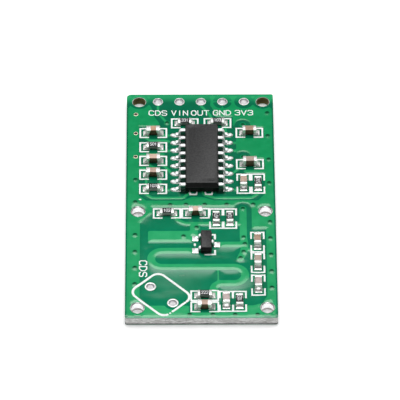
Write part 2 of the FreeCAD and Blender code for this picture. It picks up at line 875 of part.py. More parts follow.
def main():
    os.makedirs("parts", exist_ok=True)
    metal = bare_metal()
    copper = make_copper(metal)
    write("laminate_core", make_laminate())
    for name, shape in zip(("ground_pour", "antenna_track", "feed_strips", "signal_tracks"), copper):
        write(name, shape)
    write("top_solder_mask", make_top_mask(metal))
    write("bottom_ground_plane", make_ground_plane())
    write("plated_holes", compound([plated_hole(*hole) for hole in plated]))
    write("option_pads", make_option_pads())
    write("solder_joints", make_solder())
    write("silkscreen", make_print(copper, metal))
    for group, make in ((capacitors, make_capacitor), (resistors, make_resistor)):
        body, ends = make()
        for name, x, y, turn in group:
            write(name + "_body", placed(body, x, y, turn))
            write(name + "_ends", placed(ends, x, y, turn))
    for name, make in (("circuit", make_circuit), ("transistor", make_transistor)):
        body, leads = make()
        write(name + "_body", body)
        write(name + "_leads", leads)


main()
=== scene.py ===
# A small green microwave radar sensor board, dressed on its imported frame.
# Sizes of the part are millimetres in its own frame, and become metres when a mesh is made.
# Lights, the camera's distance and the depth of bumps are given in metres.

import bpy
import bmesh
import math
import numpy as np
from mathutils import Matrix, Vector


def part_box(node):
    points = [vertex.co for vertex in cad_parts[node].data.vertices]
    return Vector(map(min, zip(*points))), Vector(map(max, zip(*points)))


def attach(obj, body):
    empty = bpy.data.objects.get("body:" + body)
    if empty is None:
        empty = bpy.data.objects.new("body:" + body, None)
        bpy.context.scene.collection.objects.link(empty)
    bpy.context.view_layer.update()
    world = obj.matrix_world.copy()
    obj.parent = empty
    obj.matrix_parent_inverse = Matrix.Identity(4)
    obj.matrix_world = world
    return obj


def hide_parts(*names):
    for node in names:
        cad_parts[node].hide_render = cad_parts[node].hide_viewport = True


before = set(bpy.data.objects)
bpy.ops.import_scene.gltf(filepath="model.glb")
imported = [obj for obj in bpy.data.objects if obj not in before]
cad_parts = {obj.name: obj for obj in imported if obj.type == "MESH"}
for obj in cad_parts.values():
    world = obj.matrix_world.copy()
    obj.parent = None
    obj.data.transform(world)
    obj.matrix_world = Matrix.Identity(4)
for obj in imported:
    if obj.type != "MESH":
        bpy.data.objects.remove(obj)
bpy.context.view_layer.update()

MM = 0.001
WIDTH = 17.3
LENGTH = 35.9
LEFT = -WIDTH / 2
LOWER = -LENGTH / 2
CORNER = 0.25
UPPER_LEFT_CORNER = 0.55

# Heights above the flat underside
LAMINATE_LOW = 0.10
LAMINATE_TOP = 1.10
PAD_FOOT = 1.11
COPPER_FOOT = 1.163
PAD_SKIN = 1.195
COPPER_TOP = 1.20
RIM_TOP = 1.222
SEAT = 1.23
RESISTOR_TOP = SEAT + 0.470


# Camera and light

def add_object(name, data):
    """An object of a mesh, a lamp or a camera, linked to the scene."""
    made = bpy.data.objects.new(name, data)
    bpy.context.collection.objects.link(made)
    return made


def make_camera():
    """The photo's camera: a long lens that looks down on the board's middle from the front."""
    # Solved from the board's edges and its rows of holes in the photo
    azimuth, elevation, roll = (math.radians(angle) for angle in (-0.3905, 45.9666, 0.1108))
    target = Vector((-0.0162, 0.4182, 1.2)) * MM
    far = 0.48498
    data = bpy.data.cameras.new("camera")
    data.lens = 377.37
    data.sensor_width = 36.0
    data.clip_start = 0.01
    data.clip_end = 20.0
    data.shift_x = -0.00125
    data.shift_y = 0.00125
    camera = add_object("camera", data)
    turn = Matrix.Rotation(azimuth, 4, "Z") @ Matrix.Rotation(math.pi / 2 - elevation, 4, "X")
    turn @= Matrix.Rotation(roll, 4, "Z")
    camera.matrix_world = Matrix.Translation(target) @ turn @ Matrix.Translation((0, 0, far))
    bpy.context.scene.camera = camera


def make_light():
    """One wide soft light above and behind the board, and weak low ones in front and beside it."""
    # Name, azimuth and elevation in degrees, distance, size and energy
    for name, azimuth, elevation, away, size, energy in (
        ("softbox", 90, 77, 0.6, (0.60, 0.54), 4.3),
        ("right_fill", 35, 22, 0.5, (0.30, 0.25), 0.38),
        ("left_fill", 145, 22, 0.5, (0.30, 0.25), 0.38),
        ("front_fill", -90, 12, 0.5, (0.40, 0.08), 0.5),
    ):
        turn, rise = math.radians(azimuth), math.radians(elevation)
        towards = Vector((math.cos(turn) * math.cos(rise), math.sin(turn) * math.cos(rise), math.sin(rise)))
        data = bpy.data.lights.new(name, "AREA")
        data.shape = "RECTANGLE"
        data.size, data.size_y = size
        data.energy = energy
        lamp = add_object(name, data)
        lamp.location = towards * away
        lamp.rotation_euler = towards.to_track_quat("Z", "Y").to_euler()
    world = bpy.data.worlds.new("world")
    bpy.context.scene.world = world
    world.use_nodes = True
    background = world.node_tree.nodes["Background"]
    background.inputs["Color"].default_value = (0.05, 0.052, 0.055, 1)
    background.inputs["Strength"].default_value = 1.0


# Materials

def linear(red, green, blue):
    """A display colour as the shader wants it."""
    def one(value):
        value /= 255
        return value / 12.92 if value <= 0.04045 else ((value + 0.055) / 1.055) ** 2.4
    return one(red), one(green), one(blue), 1


class Nodes:
    """Short calls for building one material. Each input is a value, or the output that feeds it."""

    def __init__(self, name):
        self.material = bpy.data.materials.new(name)
        self.material.use_nodes = True
        self.tree = self.material.node_tree
        self.shader = self.tree.nodes["Principled BSDF"]
        self.coordinates = self.add("TexCoord", "Object")

    def add(self, kind, output, inputs=(), **settings):
        """A new node, of which one output is returned."""
        node = self.tree.nodes.new("ShaderNode" + kind)
        for name, value in settings.items():
            setattr(node, name, value)
        for name, value in dict(inputs).items():
            self.put(node.inputs[name], value)
        return node.outputs[output]

    def put(self, socket, value):
        if isinstance(value, bpy.types.NodeSocket):
            self.tree.links.new(value, socket)
        else:
            socket.default_value = value

    def set(self, name, value):
        self.put(self.shader.inputs[name], value)

    def noise(self, scale, detail, roughness=0.5, stretch=None):
        place = self.coordinates
        if stretch:
            place = self.add("Mapping", "Vector", {"Vector": place, "Scale": stretch})
        inputs = {"Scale": scale, "Detail": detail, "Roughness": roughness, "Vector": place}
        return self.add("TexNoise", "Fac", inputs)

    def patches(self, low, high, *noise):
        """Noise spread so that two of its values become 0 and 1."""
        return self.range(self.noise(*noise), low, high)

    def range(self, value, low, high, to_low=0, to_high=1, kind="LINEAR"):
        inputs = {"Value": value, "From Min": low, "From Max": high, "To Min": to_low, "To Max": to_high}
        return self.add("MapRange", "Result", inputs, interpolation_type=kind)

    def mix(self, factor, first, second):
        """Two colours mixed. The node keeps its colours at inputs 6 and 7 and at output 2."""
        return self.add("Mix", 2, {0: factor, 6: first, 7: second}, data_type="RGBA")

    def math(self, operation, *values):
        return self.add("Math", 0, enumerate(values), operation=operation)

    def attribute(self, name):
        return self.add("Attribute", "Fac", attribute_name=name)

    def bump(self, height, distance, strength):
        inputs = {"Strength": strength, "Distance": distance, "Height": height}
        self.set("Normal", self.add("Bump", "Normal", inputs))


def mask_material():
    """Green mask in four tones, over bare laminate or copper and paler where a painted light gradient lies,
    with a painted highlight, dark via bores and painted shade in other tones.
    """
    nodes = Nodes("solder_mask")
    over = nodes.range(nodes.attribute("copper"), -0.012, 0.012, kind="SMOOTHSTEP")
    mottle = nodes.patches(0.35, 0.65, 900, 3)
    # Each tone has a paler copy, which the painted light gradient mixes in.
    bare, pale_bare, covered, pale = (
        nodes.mix(mottle, linear(*first), linear(*second)) for first, second in (
            ((0, 105, 71), (0, 111, 76)), ((0, 122, 84), (3, 129, 90)),
            ((14, 142, 84), (22, 149, 91)), ((40, 164, 103), (48, 171, 110)),
        )
    )
    # Painted light: a gradient that pales the mask, most on the antenna's half and along the top edge.
    thin = nodes.attribute("painted_light_gradient")
    flat = nodes.mix(over, nodes.mix(thin, bare, pale_bare), nodes.mix(thin, covered, pale))
    # Painted highlight: a pale tone along the top edge, at its corners, on the mounting holes' rims and on
    # the narrow tracks.
    edged = nodes.mix(nodes.attribute("painted_sheen"), flat, linear(46, 172, 108))
    # Dark over the covered vias' bores, and painted shade towards each bore's far side and under the
    # circuit's leads.
    nodes.set("Base Color", nodes.mix(nodes.attribute("dark_bore_and_painted_shade"), edged, linear(0, 40, 28)))
    gloss = nodes.range(nodes.noise(350, 4), 0.3, 0.7, 0.11, 0.15)
    matt = nodes.range(nodes.attribute("haze"), 0, 1, 0, 0.17)
    nodes.set("Roughness", nodes.math("ADD", gloss, matt))
    nodes.set("Specular IOR Level", 0.6)
    nodes.bump(nodes.noise(1400, 2), 0.000004, 0.35)
    return nodes.material


def laminate_material():
    """Pale glass bundles in streaks along the edge, and darker streaks along its foot."""
    nodes = Nodes("glass_laminate")
    layers = nodes.patches(0.38, 0.66, 1500, 4, 0.6, (0.5, 0.5, 2.6))
    specks = nodes.patches(0.34, 0.54, 4200, 3, 0.6, (0.45, 0.45, 1.6))
    streaks = nodes.patches(0.40, 0.60, 1300, 3, 0.6, (0.6, 0.6, 3.0))
    pale = nodes.mix(layers, linear(204, 204, 201), linear(252, 252, 250))
    speckled = nodes.mix(specks, linear(176, 176, 172), pale)
    dark = nodes.mix(streaks, linear(84, 84, 84), linear(150, 150, 149))
    height = nodes.add("SeparateXYZ", "Z", {0: nodes.coordinates})
    # Darker towards the foot of the edge.
    above_dark_foot = nodes.range(height, 0.12 * MM, 0.40 * MM, kind="SMOOTHSTEP")
    nodes.set("Base Color", nodes.mix(above_dark_foot, dark, speckled))
    nodes.set("Roughness", 0.85)
    nodes.bump(nodes.noise(2600, 4, 0.7, (0.6, 0.6, 1.6)), 0.00003, 0.7)
    return nodes.material


def metal_material(name, colour, low, high, scale, depth, strength):
    """Metal with dull patches, whose roughness wanders between two values."""
    nodes = Nodes(name)
    dull = tuple(0.86 * value for value in colour)
    nodes.set("Base Color", nodes.mix(nodes.patches(0.35, 0.65, scale, 3), dull + (1,), colour + (1,)))
    nodes.set("Metallic", 1.0)
    nodes.set("Roughness", nodes.range(nodes.noise(scale * 2.2, 3), 0.3, 0.7, low, high))
    nodes.bump(nodes.noise(scale * 1.6, 2), depth, strength)
    return nodes.material


def plain_material(name, first, second, scale, roughness, grain_scale, depth, strength):
    """A dull or glossy coat whose colour wanders between two tones, with a fine grain."""
    nodes = Nodes(name)
    patches = nodes.patches(0.36, 0.64, scale, 4, 0.6)
    nodes.set("Base Color", nodes.mix(patches, linear(*first), linear(*second)))
    wander, spread = nodes.noise(scale * 1.7, 2), 0.05
    nodes.set("Roughness", nodes.range(wander, 0.3, 0.7, roughness - spread, roughness + spread))
    nodes.bump(nodes.noise(grain_scale, 3, 0.6), depth, strength)
    return nodes.material


def floor_material():
    """Matt white, with a glow that only the camera and mirrors see, so that the shadow stays."""
    nodes = Nodes("floor")
    nodes.tree.nodes.clear()
    seen, glossy, through = (
        nodes.add("LightPath", name) for name in ("Is Camera Ray", "Is Glossy Ray", "Is Transmission Ray")
    )
    mirrored = nodes.math("MULTIPLY", nodes.math("MAXIMUM", glossy, through), 0.8)
    strength = nodes.math("MULTIPLY_ADD", seen, 0.3, mirrored)
    diffuse = nodes.add("BsdfDiffuse", 0, {"Color": (0.8, 0.8, 0.8, 1)})
    glow = nodes.add("Emission", 0, {"Strength": strength})
    output = nodes.tree.nodes.new("ShaderNodeOutputMaterial")
    nodes.put(output.inputs["Surface"], nodes.add("AddShader", 0, {0: diffuse, 1: glow}))
    return nodes.material


MASK = mask_material()
LAMINATE = laminate_material()
# Name, colour, lowest and highest roughness, scale of the patches, depth and strength of the grain
TIN = metal_material("bright_tin", (0.94, 0.94, 0.94), 0.32, 0.42, 1800, 0.000004, 0.15)
PLATED_WALL = metal_material("plated_wall", (0.78, 0.78, 0.79), 0.16, 0.26, 1800, 0.000003, 0.1)
# Painted shade: a darker copy of the plated wall, for the smaller holes.
SMALL_WALL_PAINTED_SHADE = metal_material("small_hole_wall_painted_shade", (0.60, 0.59, 0.60), 0.14, 0.24, 1800, 0.000003, 0.1)
# Painted shade: a dark copy of the plated wall, for the foot and the sides of the edge holes' walls.
EDGE_WALL_PAINTED_SHADE = metal_material("edge_hole_wall_painted_shade", (0.30, 0.29, 0.28), 0.3, 0.45, 2600, 0.00001, 0.4)
SOLDER = metal_material("solder", (0.84, 0.83, 0.80), 0.30, 0.46, 2200, 0.000012, 0.5)
# Painted light: a brighter copy of the solder, for the feet of the leads.
FOOT_SOLDER_PAINTED_LIGHT = metal_material("foot_solder_painted_light", (0.94, 0.94, 0.93), 0.42, 0.56, 2200, 0.000006, 0.3)
END_METAL = metal_material("chip_end_plating", (0.87, 0.86, 0.84), 0.36, 0.50, 3200, 0.00001, 0.5)
LEAD_METAL = metal_material("lead_tin", (0.93, 0.93, 0.94), 0.42, 0.54, 2600, 0.000006, 0.4)
VIA_RIM = metal_material("via_rim_metal", (0.86, 0.80, 0.62), 0.3, 0.42, 2600, 0.00001, 0.5)
# Name, darker and lighter tone, scale of the patches, roughness, scale, depth and strength of the grain
CERAMICS = {
    name: plain_material(
        "capacitor_" + name, dark, [value + 20 for value in dark], 2400, 0.5, 5200, 0.000008, 0.6
    )
    for name, dark in (
        ("amber", (180, 138, 110)), ("peach", (198, 167, 148)), ("sand", (174, 146, 129)),
        ("tan", (153, 123, 102)), ("taupe", (158, 138, 124)), ("pink", (176, 158, 154)),
    )
}
(
    INK, CODE_INK, CERAMIC_PAINTED_SHADE_SIDE, CERAMIC_WHITE, COAT, MOULDING, MOULDING_PAINTED_SHADE_SIDE, HOLE_WALL, VIA_BORE_PAINTED_SHADE,
) = (
    plain_material(*values) for values in (
        ("white_ink", (232, 236, 234), (250, 252, 250), 2600, 0.55, 4500, 0.000008, 0.5),
        ("grey_white_ink", (226, 228, 228), (244, 246, 246), 2600, 0.55, 4500, 0.000008, 0.5),
        # Painted shade: a dark copy of the capacitors' ceramic, for their side faces.
        ("capacitor_painted_shade_sides", (66, 49, 31), (90, 68, 46), 2400, 0.42, 5200, 0.000008, 0.6),
        ("resistor_ceramic", (128, 134, 128), (150, 156, 150), 2600, 0.5, 5200, 0.000008, 0.5),
        ("resistor_coat", (12, 12, 14), (22, 23, 25), 2600, 0.6, 5200, 0.000006, 0.4),
        ("moulding", (16, 16, 17), (46, 46, 46), 5200, 0.52, 7500, 0.00002, 1.0),
        # Painted shade: a darker copy of the moulding, for the packages' side faces.
        ("moulding_painted_shade_sides", (9, 9, 10), (17, 17, 18), 3200, 0.52, 7500, 0.00001, 0.7),
        ("bare_hole_wall", (84, 76, 26), (116, 106, 44), 2200, 0.8, 4200, 0.00002, 0.8),
        # Painted shade: the dark wall and plug of the open vias' bores.
        ("open_via_bore_painted_shade", (38, 26, 14), (62, 44, 24), 2600, 0.5, 4200, 0.00001, 0.5),
    )
)
# Painted shade: the packages' side faces also reflect less.
MOULDING_PAINTED_SHADE_SIDE.node_tree.nodes["Principled BSDF"].inputs["Specular IOR Level"].default_value = 0.12


# Meshes

def around(values):
    """Each value with the one that follows it, the first one after the last."""
    return zip(values, list(values[1:]) + [values[0]])


def cells(grid):
    """The four corners of each cell in a grid of numbers."""
    corners = [grid[:-1, :-1], grid[:-1, 1:], grid[1:, 1:], grid[1:, :-1]]
    return np.stack(corners, axis=-1).reshape(-1, 4)


def left_of(way):
    """The direction to the left of another one."""
    return np.array([-way[1], way[0]])


def moved(points, x, y, turn):
    """Points turned by an angle in degrees and then shifted. Heights stay."""
    cosine, sine = math.cos(math.radians(turn)), math.sin(math.radians(turn))
    return [(x + px * cosine - py * sine, y + px * sine + py * cosine, *rest) for px, py, *rest in points]


def circle(x, y, radius, z, sides):
    """Points round an upright line. The radius is one number, or one for each point."""
    angles = np.linspace(0, 2 * math.pi, sides, endpoint=False)
    return [
        (x + reach * math.cos(angle), y + reach * math.sin(angle), z)
        for angle, reach in zip(angles, np.broadcast_to(radius, sides))
    ]


def rounded_rectangle(half_x, half_y, radii, steps):
    """Points round a rectangle with rounded corners, anticlockwise from the upper right corner."""
    points = []
    for number, ((side, end), radius) in enumerate(zip(((1, 1), (-1, 1), (-1, -1), (1, -1)), radii)):
        for angle in np.radians(np.linspace(number * 90, number * 90 + 90, steps)):
            points.append((
                side * (half_x - radius) + radius * math.cos(angle),
                end * (half_y - radius) + radius * math.sin(angle),
            ))
    return points


class Shape:
    """Points and faces in millimetres, gathered before they become one piece."""

    def __init__(self):
        self.points = []
        self.faces = []
        self.slots = []

    def add(self, points, faces, slot=0):
        """More points, and faces that count them from 0."""
        start = len(self.points)
        self.points += [tuple(point) for point in points]
        self.faces += [tuple(start + index for index in face) for face in faces]
        self.slots += [slot] * len(faces)

    def rings(self, rings, capped=True):
        """A tube through rings of equally many points."""
        count = len(rings[0])
        faces = []
        for low in range(0, (len(rings) - 1) * count, count):
            for index, following in around(range(count)):
                faces.append((low + index, low + following, low + count + following, low + count + index))
        if capped:
            last = (len(rings) - 1) * count
            faces.append(tuple(reversed(range(count))))
            faces.append(tuple(range(last, last + count)))
        self.add([point for ring in rings for point in ring], faces)

    def turned(self, x, y, profile, sides, loop=False):
        """A profile of radius and height turned about an upright line."""
        rings = [circle(x, y, radius, height, sides) for radius, height in profile]
        self.rings(rings + rings[:1] if loop else rings, not loop)


def finish_mesh(mesh, body, materials, replaced, angle):
    """Write a body into its mesh, and make it a piece that rides on the board for the replaced nodes."""
    bmesh.ops.recalc_face_normals(body, faces=body.faces)
    body.to_mesh(mesh)
    body.free()
    for material in materials:
        mesh.materials.append(material)
    mesh.shade_smooth()
    mesh.set_sharp_from_angle(angle=math.radians(angle))
    piece = add_object(mesh.name, mesh)
    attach(piece, "root")
    if replaced:
        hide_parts(*replaced)
    return piece


def make_piece(name, shape, materials, replaced=(), angle=60):
    """One piece of a shape."""
    mesh = bpy.data.meshes.new(name)
    mesh.from_pydata((np.array(shape.points, float) * MM).tolist(), [], shape.faces)
    mesh.validate()
    body = bmesh.new()
    body.from_mesh(mesh)
    bmesh.ops.remove_doubles(body, verts=body.verts, dist=1e-8)
    piece = finish_mesh(mesh, body, materials, replaced, angle)
    if len(shape.slots) == len(mesh.polygons):
        mesh.polygons.foreach_set("material_index", shape.slots)
    return piece


def skin(body, rings, slot=0, inward=False):
    """Faces between rings of equally many vertices."""
    for lower, upper in zip(rings, rings[1:]):
        for first, second in around(range(len(lower))):
            if inward:
                first, second = second, first
            face = body.faces.new((lower[first], lower[second], upper[second], upper[first]))
            face.material_index = slot


def vertex_ring(body, points):
    """New vertices at points given in millimetres."""
    return [body.verts.new((x * MM, y * MM, z * MM)) for x, y, z in points]


# Outlines read from the frame

def border(name, height):
    """The edges round a node's flat faces at one height, each with the face on its left."""
    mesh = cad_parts[name].data
    points = np.array([vertex.co for vertex in mesh.vertices]) / MM
    mesh.calc_loop_triangles()
    triangles = np.array([triangle.vertices for triangle in mesh.loop_triangles])
    flat = np.all(np.abs(points[triangles][:, :, 2] - height) < 2e-3, axis=1)
    edges = {}
    for triangle in triangles[flat]:
        corners = [tuple(np.round(points[index][:2], 3)) for index in triangle]
        (ax, ay), (bx, by), (cx, cy) = corners
        if (bx - ax) * (cy - ay) - (by - ay) * (cx - ax) < 0:
            corners.reverse()
        for start, end in around(corners):
            if (end, start) in edges:
                del edges[(end, start)]
            elif start != end:
                edges[(start, end)] = True
    return np.array(list(edges)).reshape(-1, 2, 2)


def parts(points):
    """Slices of a long list of points, so that a comparison with all edges stays small in memory."""
    size = 4000
    return [slice(start, start + size) for start in range(0, len(points), size)]


def inside(points, edges):
    """Which points lie in the area that the edges enclose."""
    found = np.zeros(len(points), bool)
    (x0, y0), (x1, y1) = edges[:, 0].T, edges[:, 1].T
    rise = np.where(y1 == y0, 1e-9, y1 - y0)
    for part in parts(points):
        px, py = points[part, 0:1], points[part, 1:2]
        crossing = ((y0 > py) != (y1 > py)) & (px < (x1 - x0) * (py - y0) / rise + x0)
        found[part] = crossing.sum(axis=1) % 2 == 1
    return found


def distance(points, edges):
    """How far each point is from the nearest edge."""
    found = np.empty(len(points))
    start_x, start_y = edges[:, 0].T.astype(np.float32)
    along_x, along_y = (edges[:, 1] - edges[:, 0]).T.astype(np.float32)
    length = np.maximum(along_x ** 2 + along_y ** 2, 1e-9)
    for part in parts(points):
        px = points[part, 0:1].astype(np.float32) - start_x
        py = points[part, 1:2].astype(np.float32) - start_y
        share = np.clip((px * along_x + py * along_y) / length, 0, 1)
        px -= share * along_x
        py -= share * along_y
        found[part] = np.sqrt((px * px + py * py).min(axis=1))
    return found


def copper_outline(names, height):
    """The edges of several nodes, and in short lengths the ones that no two of them share."""
    longest, aside = 0.15, 0.02
    edges = np.concatenate([border(name, height) for name in names])
    pieces = []
    for start, end in edges:
        count = max(1, int(math.ceil(np.linalg.norm(end - start) / longest)))
        stops = start + (end - start) * np.linspace(0, 1, count + 1)[:, None]
        pieces += zip(stops, stops[1:])
    pieces = np.array(pieces)
    along = pieces[:, 1] - pieces[:, 0]
    outward = np.stack([along[:, 1], -along[:, 0]], axis=1)
    outward /= np.maximum(np.linalg.norm(outward, axis=1, keepdims=True), 1e-9)
    beside = pieces.mean(axis=1) + outward * aside
    return edges, pieces[~inside(beside, edges)]


def softened(field, step, width):
    """A grid of values blurred a little, so that an outline's corners come out round."""
    reach = int(math.ceil(3 * width / step))
    kernel = np.exp(-0.5 * (np.arange(-reach, reach + 1) * step / width) ** 2)
    kernel /= kernel.sum()
    for axis, count in enumerate(field.shape):
        padded = np.pad(field, [(reach, reach) if turn == axis else (0, 0) for turn in (0, 1)], "edge")
        field = sum(
            weight * padded.take(range(offset, offset + count), axis) for offset, weight in enumerate(kernel)
        )
    return field


def smooth(value, low, high):
    """A soft step from 0 at one value to 1 at another."""
    share = np.clip((value - low) / (high - low), 0, 1)
    return share * share * (3 - 2 * share)


class Surface:
    """The relief of one face of the board on a grid: the distance into the copper, and the height."""

    def __init__(self, names, height, step, blur):
        self.columns = int(round(WIDTH / step)) + 1
        self.rows = int(round(LENGTH / step)) + 1
        self.xs = np.linspace(LEFT, -LEFT, self.columns)
        self.ys = np.linspace(LOWER, -LOWER, self.rows)
        self.grid = np.stack(np.meshgrid(self.xs, self.ys), axis=-1).reshape(-1, 2)
        edges, pieces = copper_outline(names, height)
        depth = distance(self.grid, pieces)
        depth[~inside(self.grid, edges)] *= -1
        self.depth = softened(depth.reshape(self.rows, self.columns), step, blur)
        self.height = self.relief()
        # Dark over the via bores, and painted shade, filled in by add_vias.
        self.dark_bore_and_painted_shade = np.zeros_like(self.height)
        # A painted highlight along the narrow signal tracks, filled in by make_sheets.
        self.tracks = np.zeros_like(self.height)

    def relief(self):
        """The mask climbs in a concave curve towards copper, and rounds off inside the copper's edge.

        The concave slope is widest on the antenna's half, where the mask pooled between the tracks.
        """
        down = -self.ys[:, None]
        lower = smooth(down, -5.0, -1.0)
        reach = 0.22 + 0.16 * lower + 0.65 * smooth(down, 6.6, 7.8) + 0.3 * smooth(down, 9.5, 10.5)
        outside = 0.039 * reach * (1 - np.clip(1 + self.depth / reach, 0, 1) ** 2)
        rise = np.clip(self.depth / (0.24 + 0.18 * lower), 0, 1)
        within = (0.020 + 0.020 * lower) * (1.35 * rise - 0.35 * rise ** 4)
        return COPPER_FOOT + np.where(self.depth < 0, -outside, within)

    def sample(self, field, x, y):
        """Values of a field at places between the points of the grid."""
        column = np.clip((np.asarray(x) - self.xs[0]) / (self.xs[1] - self.xs[0]), 0, self.columns - 1.001)
        row = np.clip((np.asarray(y) - self.ys[0]) / (self.ys[1] - self.ys[0]), 0, self.rows - 1.001)
        left, low = column.astype(int), row.astype(int)
        across, up = column - left, row - low
        return (
            field[low, left] * (1 - across) * (1 - up) + field[low, left + 1] * across * (1 - up)
            + field[low + 1, left] * (1 - across) * up + field[low + 1, left + 1] * across * up
        )

    def top(self, x, y):
        """Height of the mask."""
        return self.sample(self.height, x, y)

    def widen_pour(self):
        """Let the pour under the mask end just inside the board's sides and its lower edge."""
        side_start, side_end = 8.1, 8.46
        foot_start, foot_end = LOWER + 0.55, LOWER + 0.13
        for side in (-1, 1):
            column = np.searchsorted(self.xs, side * side_start)
            beyond = np.nonzero(side * self.xs > side_start)[0]
            inner = self.depth[:, column:column + 1].copy()
            for x, y in EDGE_HOLES:
                inner[np.abs(self.ys - y) < 0.9] = 0.3
            self.extend((slice(None), beyond), inner, side_end - side * self.xs[beyond])
        inner = self.depth[np.searchsorted(self.ys, foot_start)].copy()
        below = self.ys < foot_start
        self.extend(below, inner, self.ys[below, None] - foot_end)
        self.height = self.relief()

    def extend(self, place, inner, reach):
        """Carry copper outwards over a part of the grid, where it lies well inside of that part."""
        old = self.depth[place]
        self.depth[place] = np.where(inner > 0.1, np.maximum(old, np.minimum(inner, reach)), old)

    def add_vias(self):
        """Low mounds at the covered vias, dark over their bores, with painted shade towards each bore's far
        side. Painted shade also darkens the mask under the circuit's leads.
        """
        # Painted shade: a dark band beside the circuit, under its leads.
        beside = np.abs(self.xs[None, :] - CIRCUIT[0])
        along = np.abs(self.ys[:, None] - CIRCUIT[1])
        near = smooth(beside, 1.5, 1.8) * smooth(-beside, -2.75, -2.45)
        self.dark_bore_and_painted_shade += 0.9 * near * smooth(-along, -5.3, -5.0)
        rise, spread, copper, bore, soft_edge = 0.034, 0.34, 0.38, 0.32, 0.09
        for x, y in COVERED_VIAS:
            up = self.ys[:, None] - y
            reach = np.hypot(self.xs[None, :] - x, up)
            self.height += rise * np.exp(-(reach / spread) ** 2)
            self.depth = np.maximum(self.depth, copper - reach)
            # Painted shade: the dark over a bore grows towards its far side.
            far_side = np.clip(0.5 + up / 0.3, 0, 1)
            self.dark_bore_and_painted_shade += np.clip((bore - reach) / soft_edge, 0, 1) * (0.35 + 0.6 * far_side)


def painted_light_gradient_at(x, y):
    """Painted light: where the mask is painted paler, most on the antenna's half, less at the side strips, a
    little towards the board's middle and much along its top edge.
    """
    lower = smooth(-y, 0.5, 5.0)
    strips = smooth(np.abs(x), 6.4, 7.2)
    upper = 0.35 * smooth(-y, -9.0, 3.0) + 0.8 * smooth(y, 16.8, 17.8)
    return lower * (1 - 0.45 * strips) + upper * (1 - lower)


HAZE_SPOTS = (
    (-0.8, -8.45, 5.0, 0.30, 0.4), (-2.2, -11.3, 3.0, 0.75, 0.8), (-3.6, -12.7, 2.2, 0.8, 0.7),
    (-4.9, -14.5, 1.3, 0.45, 0.8), (-3.0, -13.9, 1.3, 0.40, 0.7), (-6.5, -2.6, 0.7, 0.6, 0.8),
    (4.9, -12.5, 1.4, 0.7, 0.8), (6.4, -16.3, 1.2, 0.4, 0.6), (-5.0, -0.2, 1.6, 0.25, 0.5),
)


def mask_haze(x, y):
    """Where the mask is less glossy: a few soft spots, given by middle, reach both ways and strength."""
    haze = np.zeros_like(x)
    for middle_x, middle_y, wide, high, strength in HAZE_SPOTS:
        haze += strength * np.exp(-((x - middle_x) / wide) ** 2 - ((y - middle_y) / high) ** 2)
    return np.clip(haze, 0, 1)


def mask_sheen(x, y):
    """Where a painted highlight brightens the mask: along the top edge, at its corners, and on the upper
    rims of the mounting holes.
    """
    painted_sheen = 0.55 * smooth(y, 16.4, 17.6) + 0.3 * smooth(np.abs(x), 7.9, 8.5) * smooth(y, 16.0, 17.4)
    for hole_x, hole_y in MOUNTING_HOLES:
        reach = np.hypot(x - hole_x, y - hole_y)
        # Painted highlight: strongest on each rim's far side.
        upper = np.clip(0.35 + 0.65 * (y - hole_y) / np.maximum(reach, 1e-6), 0, 1)
        painted_sheen = painted_sheen + 0.8 * upper * np.exp(-((reach - 0.92) / 0.10) ** 2)
    return np.clip(painted_sheen, 0, 1)


def rounded_to_board(points):
    """Points beyond the board's rounded corners, moved onto them, and which points those are."""
    radius = np.where((points[:, 0] < 0) & (points[:, 1] > 0), UPPER_LEFT_CORNER, CORNER)
    inner = np.array([WIDTH / 2, LENGTH / 2]) - radius[:, None]
    beyond = np.abs(points) - inner
    corner = np.all(beyond > 0, axis=1)
    reach = np.linalg.norm(np.where(corner[:, None], beyond, 1), axis=1)
    cut_off = corner & (reach > radius)
    shrink = np.where(cut_off, radius / reach, 1.0)
    drawn_in = np.sign(points) * (inner + beyond * shrink[:, None])
    return np.where(corner[:, None], drawn_in, points), cut_off


